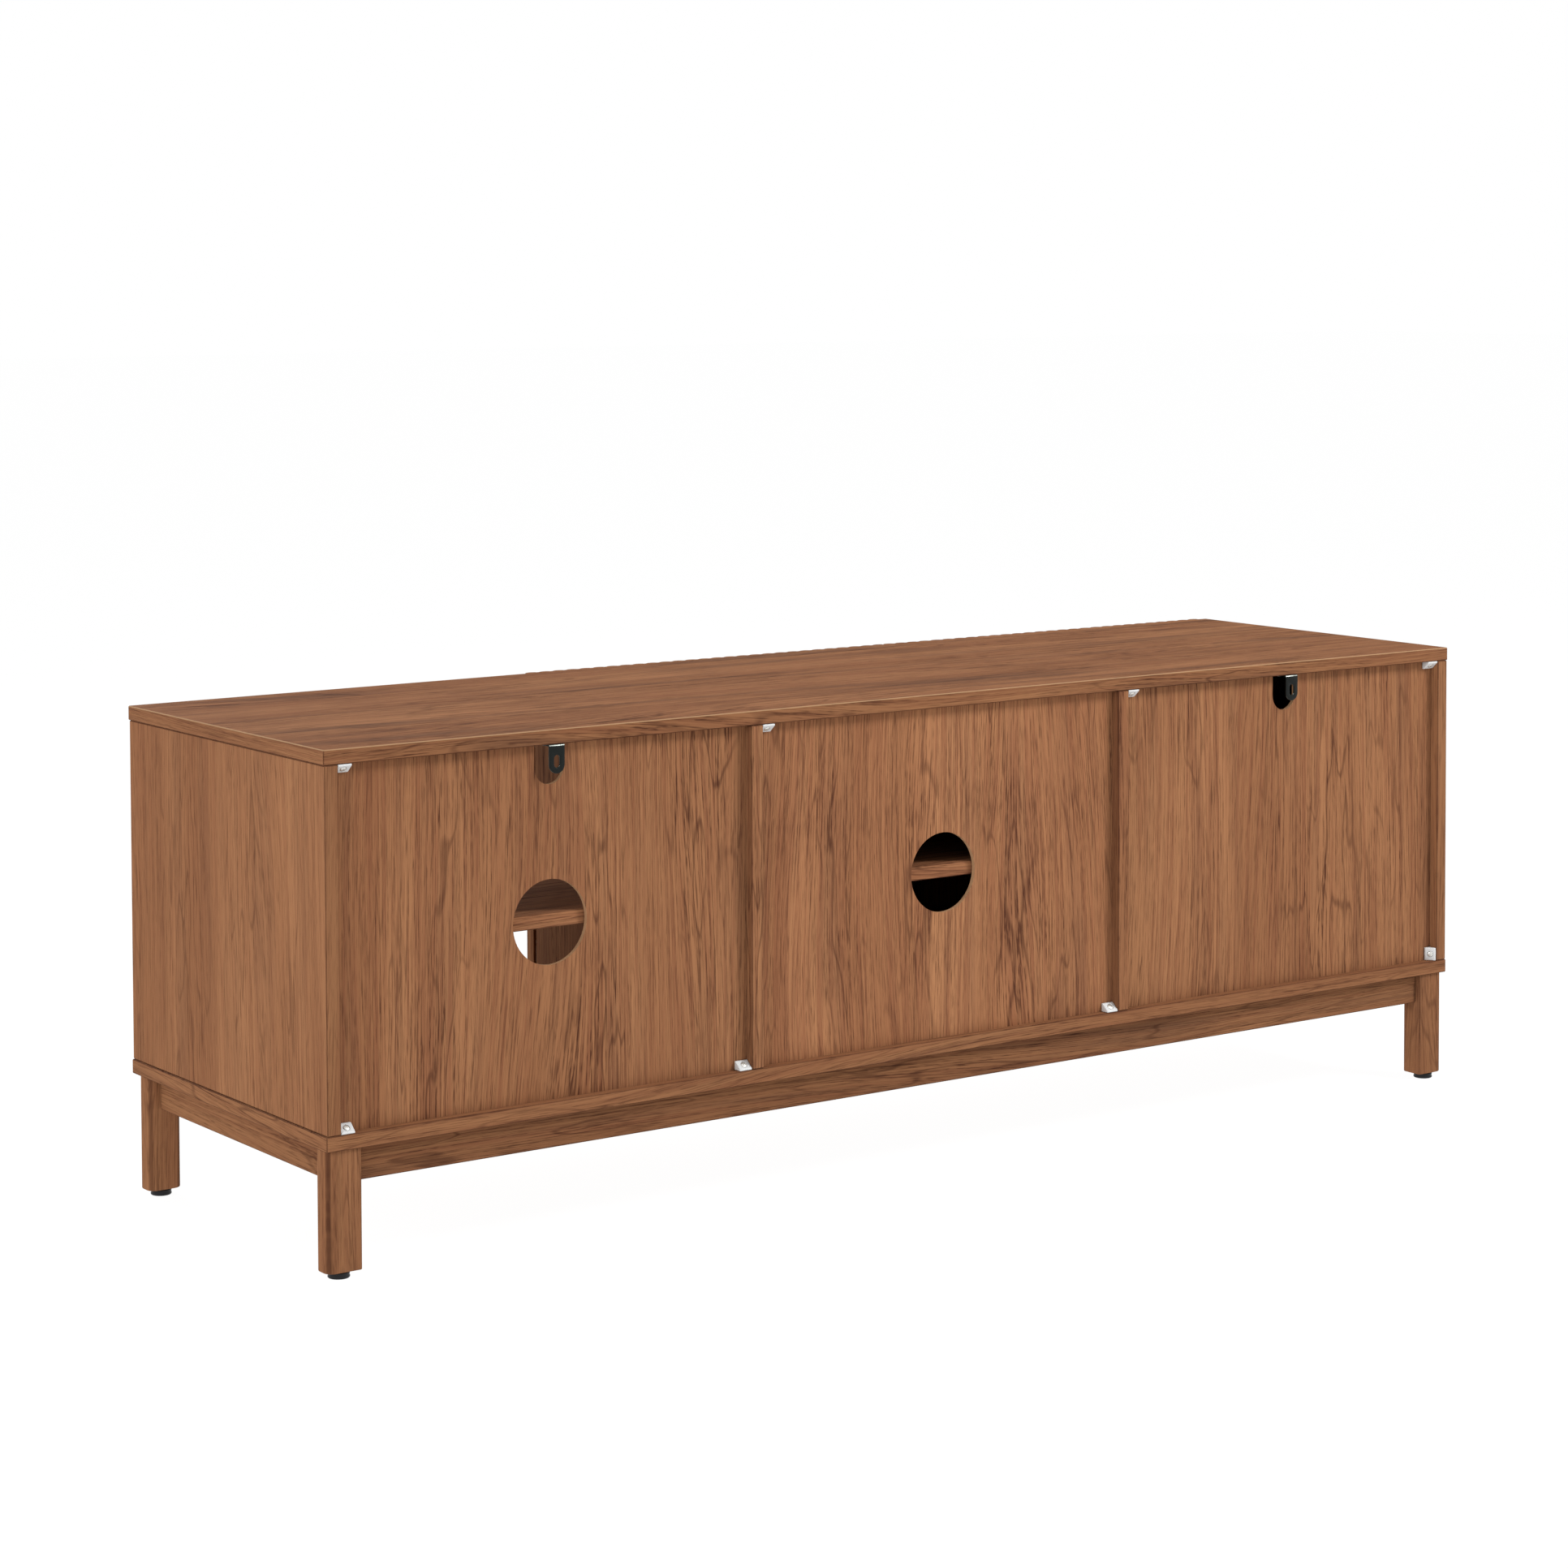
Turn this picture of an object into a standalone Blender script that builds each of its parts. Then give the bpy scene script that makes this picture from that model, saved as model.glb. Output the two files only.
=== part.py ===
# Media cabinet: a low three-bay carcass on four short legs, with one open bay and two reeded
# doors on single-pivot cup hinges. Metres, +Z up. The origin is on the floor under the middle
# of the cabinet. +X is to the right and -Y towards the viewer of someone facing the doors.
import math

import bmesh
import bpy
from mathutils import Vector

# ---- Driving dimensions ----------------------------------------------------------------------
OVERALL_WIDTH = 1.600
OVERALL_HEIGHT = 0.548
TOP_DEPTH = 0.4555          # top and bottom panels, rear edge to front edge
BOARD = 0.016               # every carcass board and shelf
EDGE_EASE = 0.001           # eased edge of a laminated board
SIDE_INSET = 0.001          # side panel inside the end of the top panel
SIDE_SETBACK = 0.001        # front edge of the uprights behind the top's front edge
CARCASS_BASE = 0.135        # underside of the bottom panel above the floor

SEAT_GAP = 0.0003           # between two pieces that rest on each other
FIT_GAP = 0.0004            # round a fastener in its hole

BACK_RECESS = 0.012         # back panel behind the rear edge of the carcass
BACK_THICKNESS = 0.005
GROOVE_DEPTH = 0.004
GROOVE_PLAY = 0.0004        # each side of the back panel in its groove
CABLE_HOLE_RADIUS = 0.046
CABLE_HOLE_DROP = 0.0006    # hole centre below the middle of the bay
NOTCH_WIDTH = 0.0365
NOTCH_DROP = 0.044          # below the underside of the top panel
BACK_FEATURE_SHIFT = -0.003  # holes and notches sit this far along X from the bay's middle

SHELF_DEPTH = 0.415
SHELF_BACK_PLAY = 0.0015

LEG_WIDTH = 0.040
LEG_DEPTH = 0.028
LEG_SIDE_INSET = 0.002
REAR_LEG_INSET = 0.004
FRONT_LEG_INSET = 0.010
LEG_CORNER_RADIUS = 0.0095
APRON_THICKNESS = 0.015
APRON_HEIGHT = 0.036
APRON_LEG_STEP = 0.0075     # apron face behind the leg's long face
SIDE_APRON_STEP = 0.014     # side apron face in from the leg's outer face

FOOT_RADIUS = 0.0117
FOOT_HEIGHT = 0.0075
FOOT_STUD_RADIUS = 0.0037
FOOT_STUD_GRIP = 0.018      # stud left in the leg with the foot wound right out
FOOT_TRAVEL = 0.008
FOOT_TOE_IN = 0.0012        # radius lost at the bottom of the foot
FOOT_TOE_HEIGHT = 0.0014
FOOT_EASE = 0.001
BOLT_RADIUS = 0.003
BOLT_HEAD_RADIUS = 0.006
BOLT_HEAD_HEIGHT = 0.0025
BOLT_GRIP = 0.030           # into the leg
BOLT_HEAD_PLAY = 0.0012     # between the rear bolt heads and the back panel
BOLT_FROM_WALL = 0.0145     # from the inner face of the side panel

DOOR_GAP = 0.0045           # between the top panel's front edge and the doors
DOOR_BOARD = 0.0145         # door behind its ribs
RIB_HEIGHT = 0.003
RIB_COUNT = 28
GROOVE_WIDTH = 0.0045       # flat between two ribs
RIB_STEPS = 6
DOOR_REVEAL = 0.002         # door edge inside the top and bottom surfaces of the carcass
DOOR_SPLIT = 0.002          # between the two doors

HINGE_END_DISTANCE = 0.075  # hinge centre from the door's top and bottom edges
PIVOT_IN = 0.0095           # pivot from the door's hinge edge, along the door
PIVOT_OUT = 0.0087          # pivot in front of the door's rear face
CUP_RADIUS = 0.0175
CUP_FROM_EDGE = 0.004       # cup from the door's hinge edge
CUP_DEPTH = 0.012
CUP_WALL = 0.0008
FLANGE_THICKNESS = 0.001
FLANGE_HALF_HEIGHT = 0.027
FLANGE_NEAR_LIP = 0.001     # flange past the cup, on the hinge edge's side
FLANGE_FAR_LIP = 0.0015
FLANGE_NECK = 0.013         # half height of the flange's narrow end
FLANGE_CORNER = 0.0027
EAR_PLAY = 0.0008           # between the arm and the cup's ears
EAR_OVER_PIN = 0.0004
PIN_RADIUS = 0.0012         # pivot pin, riveted into the cup's ears
PIN_HALF_LENGTH = 0.0078
EYE_RADIUS = 0.0022
ARM_HALF_HEIGHT = 0.0040
ARM_THICKNESS = 0.0034
ARM_LENGTH = 0.062
ARM_RUN_IN = 0.0214         # near face of the arm's neck from the door's hinge edge
ARM_BEND_START = 0.008      # where the arm leaves its neck, into the cabinet
ARM_BEND_END = 0.010
ARM_STEP = 0.0026           # arm's far face past its neck
PLATE_THICKNESS = 0.002
PLATE_HALF_HEIGHT = 0.015
PLATE_FROM_DOOR = 0.020
PLATE_LENGTH = 0.046
PLATE_EASE = 0.0005
SCREW_RADIUS = 0.0019
SCREW_HEAD_RADIUS = 0.0036
SCREW_HEAD_HEIGHT = 0.0016
SCREW_GRIP = 0.009
HEAD_CROWN = 0.7            # share of a head's radius left at its crown

LATCH_WIDTH = 0.012
LATCH_HEIGHT = 0.018
LATCH_LENGTH = 0.066
LATCH_TOP_GAP = 0.012       # below the top panel
PLUNGER_RADIUS = 0.0036
PLUNGER_TRAVEL = 0.004
PLUNGER_OUT = 0.007
PLUNGER_STEM = 0.030        # into the latch body
PLUNGER_EASE = 0.0008
LATCH_EASE = 0.001

CLIP_WIDTH = 0.016
CLIP_HEIGHT = 0.010
CLIP_TIP = 0.002
BRACKET_WIDTH = 0.019
BRACKET_THICKNESS = 0.002
BRACKET_DROP = 0.0315
BRACKET_REACH = 0.030
BRACKET_SCREW_INSET = 0.006  # in front of the back panel
BRACKET_SLOT_WIDTH = 0.0072
BRACKET_SLOT_LENGTH = 0.0134
BRACKET_SLOT_DROP = 0.0025  # slot's centre below the leaf's middle
BRACKET_SHIFT = -0.0055     # along X from the bay's middle

# Sides of round shapes, and points along a half circle
HOLE_SIDES = 64
CUP_SIDES = 32
FOOT_SIDES = 20
PIN_SIDES = 16
SCREW_SIDES = 12
BORE_SIDES = 10
NOTCH_POINTS = 17
SLOT_POINTS = 7
LEG_CORNER_POINTS = 6
EYE_POINTS = 11

# ---- Planes and places worked out from them --------------------------------------------------
DOOR_THICKNESS = DOOR_BOARD + RIB_HEIGHT
REAR_Y = (TOP_DEPTH + DOOR_GAP + DOOR_THICKNESS) / 2
TOP_FRONT_Y = REAR_Y - TOP_DEPTH
UPRIGHT_FRONT_Y = TOP_FRONT_Y + SIDE_SETBACK
DOOR_BACK_Y = TOP_FRONT_Y - DOOR_GAP
BACK_REAR_Y = REAR_Y - BACK_RECESS
BACK_FRONT_Y = BACK_REAR_Y - BACK_THICKNESS
HALF_WIDTH = OVERALL_WIDTH / 2
SIDE_OUTER_X = HALF_WIDTH - SIDE_INSET
SIDE_INNER_X = SIDE_OUTER_X - BOARD
BAY_WIDTH = (2 * SIDE_INNER_X - 2 * BOARD) / 3
PARTITION_OUTER_X = SIDE_INNER_X - BAY_WIDTH
PARTITION_INNER_X = PARTITION_OUTER_X - BOARD
TOP_UNDERSIDE_Z = OVERALL_HEIGHT - BOARD
FLOOR_TOP_Z = CARCASS_BASE + BOARD
SHELF_MIDDLE_Z = (TOP_UNDERSIDE_Z + FLOOR_TOP_Z) / 2
BAYS = {"left": (-SIDE_INNER_X, -PARTITION_OUTER_X),
        "middle": (-PARTITION_INNER_X, PARTITION_INNER_X),
        "right": (PARTITION_OUTER_X, SIDE_INNER_X)}
SIGNS = {"left": -1, "right": 1}
DOOR_WIDTH = (HALF_WIDTH + PARTITION_OUTER_X - DOOR_SPLIT) / 2
DOOR_BOTTOM_Z = CARCASS_BASE + DOOR_REVEAL
DOOR_TOP_Z = OVERALL_HEIGHT - DOOR_REVEAL
HINGE_HEIGHTS = (DOOR_BOTTOM_Z + HINGE_END_DISTANCE, DOOR_TOP_Z - HINGE_END_DISTANCE)
RIB_PITCH = (DOOR_WIDTH + GROOVE_WIDTH) / RIB_COUNT
RIB_WIDTH = RIB_PITCH - GROOVE_WIDTH
LEG_TOP_Z = CARCASS_BASE - SEAT_GAP
FOOT_STUD_LENGTH = FOOT_STUD_GRIP + FOOT_TRAVEL
CUP_CENTRE_IN = CUP_FROM_EDGE + CUP_RADIUS
FLANGE_WAIST = CUP_CENTRE_IN - CUP_RADIUS / 5

# Each door: the X of its hinge edge, the way it runs from there, and the face its arms are on.
DOORS = {"left": {"edge": -HALF_WIDTH, "way": 1, "wall": -SIDE_INNER_X},
         "right": {"edge": PARTITION_OUTER_X, "way": -1, "wall": PARTITION_INNER_X}}

# Each finish: its colour, roughness and how metallic it is.
FINISHES = {"top": ((0.28, 0.140, 0.075), 0.5, 0.0), "board": ((0.30, 0.147, 0.078), 0.5, 0.0),
            "back": ((0.31, 0.150, 0.078), 0.5, 0.0), "door": ((0.30, 0.147, 0.078), 0.45, 0.0),
            "leg": ((0.28, 0.133, 0.072), 0.45, 0.0), "foot": ((0.018, 0.018, 0.019), 0.45, 0.0),
            "clip": ((0.62, 0.62, 0.60), 0.5, 0.0), "zinc": ((0.55, 0.55, 0.56), 0.35, 1.0),
            "nickel": ((0.55, 0.55, 0.56), 0.25, 1.0), "dark_steel": ((0.030, 0.030, 0.032), 0.35, 0.6)}


# ---- Modelling helpers -----------------------------------------------------------------------
def clear_scene():
    for obj in list(bpy.context.scene.objects):
        bpy.data.objects.remove(obj, do_unlink=True)


def finish_material(name, finish):
    colour, roughness, metallic = FINISHES[finish]
    material = bpy.data.materials.new(name)
    material.use_nodes = True
    shader = material.node_tree.nodes["Principled BSDF"]
    shader.inputs["Base Color"].default_value = (*colour, 1.0)
    shader.inputs["Roughness"].default_value = roughness
    shader.inputs["Metallic"].default_value = metallic
    return material


def add_box(bm, x, y, z):
    corners = [bm.verts.new((cx, cy, cz)) for cx in sorted(x) for cy in sorted(y) for cz in sorted(z)]
    for face in ((0, 1, 3, 2), (4, 6, 7, 5), (0, 4, 5, 1), (2, 3, 7, 6), (0, 2, 6, 4), (1, 5, 7, 3)):
        bm.faces.new([corners[i] for i in face])


def add_prism(bm, outline, axis, low, high):
    # The outline is in the plane across the axis: (y, z) for X, (x, z) for Y and (x, y) for Z.
    def point(pair, along):
        values = list(pair)
        values.insert("XYZ".index(axis), along)
        return bm.verts.new(values)

    near = [point(pair, low) for pair in outline]
    far = [point(pair, high) for pair in outline]
    bm.faces.new(near)
    bm.faces.new(far)
    for i, start in enumerate(near):
        follow = (i + 1) % len(near)
        bm.faces.new((start, near[follow], far[follow], far[i]))


def circle_points(centre, radius, count, start=0.0, sweep=2 * math.pi, closed=True):
    steps = count if closed else count - 1
    return [(centre[0] + radius * math.cos(start + sweep * i / steps),
             centre[1] + radius * math.sin(start + sweep * i / steps)) for i in range(count)]


def add_cylinder(bm, axis, centre, radius, low, high, sides=PIN_SIDES):
    add_prism(bm, circle_points(centre, radius, sides), axis, low, high)


def add_turned(bm, axis, centre, profile, sides):
    # A profile of (radius, distance along the axis) points, turned about that axis.
    rings = []
    for radius, along in profile:
        ring = []
        for pair in circle_points(centre, radius, sides):
            values = list(pair)
            values.insert("XYZ".index(axis), along)
            ring.append(bm.verts.new(values))
        rings.append(ring)
    bm.faces.new(rings[0])
    bm.faces.new(rings[-1])
    for lower, upper in zip(rings, rings[1:]):
        for i in range(sides):
            follow = (i + 1) % sides
            bm.faces.new((lower[i], lower[follow], upper[follow], upper[i]))


def add_screw(bm, centre, seat, way, head_radius, head_height, radius, grip):
    # An upright pan-head screw: the head on the seat plane, the shank the given way from it.
    add_turned(bm, "Z", centre, [(head_radius * HEAD_CROWN, seat - way * head_height),
                                 (head_radius, seat - way * head_height / 2),
                                 (head_radius, seat), (radius, seat),
                                 (radius, seat + way * grip)], SCREW_SIDES)


def make_object(name, bm, material=None, origin=None, parent=None, smooth=False):
    bmesh.ops.recalc_face_normals(bm, faces=bm.faces)
    low = Vector([min(v.co[i] for v in bm.verts) for i in range(3)])
    high = Vector([max(v.co[i] for v in bm.verts) for i in range(3)])
    origin = Vector(origin) if origin else (low + high) / 2
    bmesh.ops.translate(bm, vec=-origin, verts=bm.verts)
    mesh = bpy.data.meshes.new(name)
    bm.to_mesh(mesh)
    bm.free()
    if smooth:
        mesh.shade_smooth()
        mesh.set_sharp_from_angle(angle=math.radians(35))
    obj = bpy.data.objects.new(name, mesh)
    bpy.context.collection.objects.link(obj)
    if material:
        mesh.materials.append(material)
    obj.parent = parent
    obj.location = origin - parent.location if parent else origin
    return obj


def joint_empty(name, place):
    empty = bpy.data.objects.new(name, None)
    empty.location = place
    bpy.context.collection.objects.link(empty)
    return empty


def ease_edges(obj, width=EDGE_EASE, segments=1):
    bevel = obj.modifiers.new("eased_edges", "BEVEL")
    bevel.width = width
    bevel.segments = segments
    bevel.limit_method = "ANGLE"
    bevel.angle_limit = math.radians(50)


def combine(obj, cutter_bm, label, operation="DIFFERENCE"):
    tool = make_object(f"{label}_{obj.name}", cutter_bm, parent=obj.parent)
    tool.hide_render = True
    tool.display_type = "WIRE"
    boolean = obj.modifiers.new(label, "BOOLEAN")
    boolean.operation = operation
    boolean.solver = "EXACT"
    boolean.object = tool


def board(name, x, y, z, material):
    bm = bmesh.new()
    add_box(bm, x, y, z)
    obj = make_object(name, bm, material)
    ease_edges(obj)
    return obj


# ---- Where the legs and their bolts go ------------------------------------------------------
def leg_places():
    places = {}
    for side, sign in SIGNS.items():
        outer = sign * (HALF_WIDTH - LEG_SIDE_INSET)
        x = sorted((outer, outer - sign * LEG_WIDTH))
        rear = REAR_Y - REAR_LEG_INSET
        front = TOP_FRONT_Y + FRONT_LEG_INSET
        places[f"rear_{side}"] = (x, (rear - LEG_DEPTH, rear), sign)
        places[f"front_{side}"] = (x, (front, front + LEG_DEPTH), sign)
    return places


def bolt_places():
    bolt_x = SIDE_INNER_X - BOLT_FROM_WALL
    rear_y = BACK_FRONT_Y - BOLT_HEAD_RADIUS - BOLT_HEAD_PLAY
    front_y = TOP_FRONT_Y + FRONT_LEG_INSET + LEG_DEPTH / 2
    return {f"{end}_{side}": (sign * bolt_x, y) for side, sign in SIGNS.items()
            for end, y in (("rear", rear_y), ("front", front_y))}


def middle_of(pair):
    return (pair[0] + pair[1]) / 2


# ---- Carcass ---------------------------------------------------------------------------------
def make_top_panel():
    top = board("top_panel", (-HALF_WIDTH, HALF_WIDTH), (TOP_FRONT_Y, REAR_Y),
                (TOP_UNDERSIDE_Z, OVERALL_HEIGHT), finish_material("walnut_top", "top"))
    combine(top, groove_along_x(TOP_UNDERSIDE_Z, 1), "groove")
    holes = bmesh.new()
    for x in bracket_centres():
        add_cylinder(holes, "Z", (x, bracket_screw_y()), SCREW_RADIUS + FIT_GAP,
                     TOP_UNDERSIDE_Z - BOARD, TOP_UNDERSIDE_Z + SCREW_GRIP + FIT_GAP, BORE_SIDES)
    combine(top, holes, "screw_holes")


def groove_along_x(surface_z, way):
    # A stopped groove for the back panels, cut into the top or bottom panel.
    groove = bmesh.new()
    reach = SIDE_INNER_X + GROOVE_DEPTH
    add_box(groove, (-reach, reach), (BACK_FRONT_Y - GROOVE_PLAY, BACK_REAR_Y + GROOVE_PLAY),
            (surface_z - way * BOARD / 2, surface_z + way * GROOVE_DEPTH))
    return groove


def make_bottom_panel():
    bottom = board("bottom_panel", (-HALF_WIDTH, HALF_WIDTH), (TOP_FRONT_Y, REAR_Y),
                   (CARCASS_BASE, FLOOR_TOP_Z), finish_material("walnut_bottom", "board"))
    combine(bottom, groove_along_x(FLOOR_TOP_Z, -1), "groove")
    holes = bmesh.new()
    for place in bolt_places().values():
        add_cylinder(holes, "Z", place, BOLT_RADIUS + FIT_GAP,
                     CARCASS_BASE - BOARD, FLOOR_TOP_Z + BOARD, BORE_SIDES)
    combine(bottom, holes, "bolt_holes")


def make_upright(name, x_low, grooved_faces):
    # One vertical board, with a full-height groove in each face that holds a back panel.
    x_high = x_low + BOARD
    z = (FLOOR_TOP_Z + SEAT_GAP, TOP_UNDERSIDE_Z - SEAT_GAP)
    upright = board(name, (x_low, x_high), (UPRIGHT_FRONT_Y, REAR_Y), z,
                    finish_material(f"walnut_{name}", "board"))
    grooves = bmesh.new()
    for face in grooved_faces:
        surface = x_low if face < 0 else x_high
        add_box(grooves, (surface - face * GROOVE_DEPTH, surface + face * BOARD),
                (BACK_FRONT_Y - GROOVE_PLAY, BACK_REAR_Y + GROOVE_PLAY),
                (z[0] - BOARD, z[1] + BOARD))
    combine(upright, grooves, "grooves")


def make_uprights():
    for side, sign in SIGNS.items():
        side_x = sorted((sign * SIDE_INNER_X, sign * SIDE_OUTER_X))[0]
        make_upright(f"side_panel_{side}", side_x, (-sign,))
        partition_x = sorted((sign * PARTITION_INNER_X, sign * PARTITION_OUTER_X))[0]
        make_upright(f"partition_{side}", partition_x, (-1, 1))


def make_back_panels():
    for bay, (low, high) in BAYS.items():
        bm = bmesh.new()
        reach = GROOVE_DEPTH - GROOVE_PLAY
        add_box(bm, (low - reach, high + reach), (BACK_FRONT_Y, BACK_REAR_Y),
                (FLOOR_TOP_Z - reach, TOP_UNDERSIDE_Z + reach))
        panel = make_object(f"back_panel_{bay}", bm,
                            finish_material(f"walnut_back_{bay}", "back"))
        middle = middle_of((low, high)) + BACK_FEATURE_SHIFT
        cut_y = (BACK_FRONT_Y - BACK_THICKNESS, BACK_REAR_Y + BACK_THICKNESS)
        if bay != "left":
            hole = bmesh.new()
            add_cylinder(hole, "Y", (middle, SHELF_MIDDLE_Z - CABLE_HOLE_DROP), CABLE_HOLE_RADIUS,
                         *cut_y, HOLE_SIDES)
            combine(panel, hole, "cable_hole")
        if bay != "middle":
            radius = NOTCH_WIDTH / 2
            base = TOP_UNDERSIDE_Z - NOTCH_DROP + radius
            outline = circle_points((middle, base), radius, NOTCH_POINTS, math.pi, math.pi, closed=False)
            above = TOP_UNDERSIDE_Z + BOARD
            outline += [(middle + radius, above), (middle - radius, above)]
            notch = bmesh.new()
            add_prism(notch, outline, "Y", *cut_y)
            combine(panel, notch, "bracket_notch")


# ---- Shelves ---------------------------------------------------------------------------------
def make_shelves():
    rear = BACK_FRONT_Y - SHELF_BACK_PLAY
    for bay, (low, high) in BAYS.items():
        board(f"shelf_{bay}", (low + SEAT_GAP, high - SEAT_GAP), (rear - SHELF_DEPTH, rear),
              (SHELF_MIDDLE_Z - BOARD / 2, SHELF_MIDDLE_Z + BOARD / 2),
              finish_material(f"walnut_shelf_{bay}", "board"))


# ---- Legs, aprons and feet -------------------------------------------------------------------
def leg_outline(x, y, sign, rounded_inner):
    # Rounded on the outer corners; the front legs are rounded on the inner corners too.
    corners = []
    for cx, cy, start in ((x[1], y[1], 0), (x[0], y[1], 1), (x[0], y[0], 2), (x[1], y[0], 3)):
        outer = (cx > middle_of(x)) == (sign > 0)
        if outer or rounded_inner:
            centre = (cx - math.copysign(LEG_CORNER_RADIUS, cx - middle_of(x)),
                      cy - math.copysign(LEG_CORNER_RADIUS, cy - middle_of(y)))
            corners += circle_points(centre, LEG_CORNER_RADIUS, LEG_CORNER_POINTS, start * math.pi / 2,
                                     math.pi / 2, closed=False)
        else:
            corners.append((cx, cy))
    return corners


def make_legs():
    bolts = bolt_places()
    for place, (x, y, sign) in leg_places().items():
        bm = bmesh.new()
        add_prism(bm, leg_outline(x, y, sign, place.startswith("front")), "Z", FOOT_HEIGHT, LEG_TOP_Z)
        leg = make_object(f"leg_{place}", bm, finish_material(f"walnut_leg_{place}", "leg"),
                          smooth=True)
        bores = bmesh.new()
        add_cylinder(bores, "Z", (middle_of(x), middle_of(y)), FOOT_STUD_RADIUS + FIT_GAP,
                     0.0, FOOT_HEIGHT + FOOT_STUD_LENGTH + FIT_GAP, SCREW_SIDES)
        add_cylinder(bores, "Z", bolts[place], BOLT_RADIUS + FIT_GAP,
                     LEG_TOP_Z - BOLT_GRIP - FIT_GAP, LEG_TOP_Z + BOARD, BORE_SIDES)
        combine(leg, bores, "bores")
        foot_bm = bmesh.new()
        centre = (middle_of(x), middle_of(y))
        lip = FOOT_HEIGHT - SEAT_GAP
        add_turned(foot_bm, "Z", centre,
                   [(FOOT_RADIUS - FOOT_TOE_IN, 0.0), (FOOT_RADIUS, FOOT_TOE_HEIGHT),
                    (FOOT_RADIUS, lip - FOOT_EASE), (FOOT_RADIUS - FOOT_EASE, lip),
                    (FOOT_STUD_RADIUS, lip), (FOOT_STUD_RADIUS, lip + FOOT_STUD_LENGTH)], FOOT_SIDES)
        slide = joint_empty(f"slide_foot_{place}", (*centre, 0.0))
        make_object(f"foot_{place}", foot_bm, finish_material(f"foot_black_{place}", "foot"),
                    origin=(*centre, 0.0), parent=slide, smooth=True)
        bolt = bmesh.new()
        add_screw(bolt, bolts[place], FLOOR_TOP_Z + SEAT_GAP, -1, BOLT_HEAD_RADIUS,
                  BOLT_HEAD_HEIGHT, BOLT_RADIUS, BOARD + BOLT_GRIP)
        make_object(f"leg_bolt_{place}", bolt, finish_material(f"bolt_steel_{place}", "zinc"),
                    smooth=True)


def make_aprons():
    legs = leg_places()
    z = (CARCASS_BASE - APRON_HEIGHT, CARCASS_BASE - SEAT_GAP)
    inner = HALF_WIDTH - LEG_SIDE_INSET - LEG_WIDTH - SEAT_GAP
    rear = legs["rear_left"][1][1] - APRON_LEG_STEP
    front = legs["front_left"][1][0] + APRON_LEG_STEP
    board("apron_rear", (-inner, inner), (rear - APRON_THICKNESS, rear), z,
          finish_material("walnut_apron_rear", "leg"))
    board("apron_front", (-inner, inner), (front, front + APRON_THICKNESS), z,
          finish_material("walnut_apron_front", "leg"))
    y = (legs["front_left"][1][1] + SEAT_GAP, legs["rear_left"][1][0] - SEAT_GAP)
    outer = HALF_WIDTH - LEG_SIDE_INSET - SIDE_APRON_STEP
    for side, sign in SIGNS.items():
        board(f"apron_{side}", (sign * outer, sign * (outer - APRON_THICKNESS)), y, z,
              finish_material(f"walnut_apron_{side}", "leg"))


# ---- Doors and their hinges ------------------------------------------------------------------
def door_x(door, distance):
    return door["edge"] + door["way"] * distance


def hinge_y(out):
    # A distance out in front of the door's rear face; into the cabinet is negative.
    return DOOR_BACK_Y - out


def door_outline(door):
    outline = [(door_x(door, 0.0), DOOR_BACK_Y)]
    for rib in range(RIB_COUNT):
        start = rib * RIB_PITCH
        radius = (RIB_WIDTH ** 2 / 4 + RIB_HEIGHT ** 2) / (2 * RIB_HEIGHT)
        half_angle = math.asin(RIB_WIDTH / 2 / radius)
        for step in range(RIB_STEPS + 1):
            angle = -half_angle + 2 * half_angle * step / RIB_STEPS
            along = start + RIB_WIDTH / 2 + radius * math.sin(angle)
            out = DOOR_THICKNESS - radius * (1 - math.cos(angle))
            outline.append((door_x(door, along), hinge_y(out)))
    outline.append((door_x(door, DOOR_WIDTH), DOOR_BACK_Y))
    return outline


def make_door(side, door):
    axis_place = (door_x(door, PIVOT_IN), hinge_y(PIVOT_OUT), 0.0)
    pivot = joint_empty(f"pivot_door_{side}", axis_place)
    bm = bmesh.new()
    add_prism(bm, door_outline(door), "Z", DOOR_BOTTOM_Z, DOOR_TOP_Z)
    panel = make_object(f"door_{side}", bm, finish_material(f"walnut_door_{side}", "door"),
                        origin=axis_place, parent=pivot)
    bores = bmesh.new()
    for z in HINGE_HEIGHTS:
        add_cylinder(bores, "Y", (door_x(door, CUP_CENTRE_IN), z), CUP_RADIUS + SEAT_GAP,
                     hinge_y(CUP_DEPTH + SEAT_GAP), hinge_y(-BOARD), CUP_SIDES)
    combine(panel, bores, "cup_bores")
    for level, z in zip(("lower", "upper"), HINGE_HEIGHTS):
        make_hinge_cup(f"hinge_cup_{side}_{level}", door, pivot, z)
        make_hinge_arm(f"hinge_arm_{side}_{level}", door, z)
        make_hinge_plate(f"hinge_plate_{side}_{level}", door, z)


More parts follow.
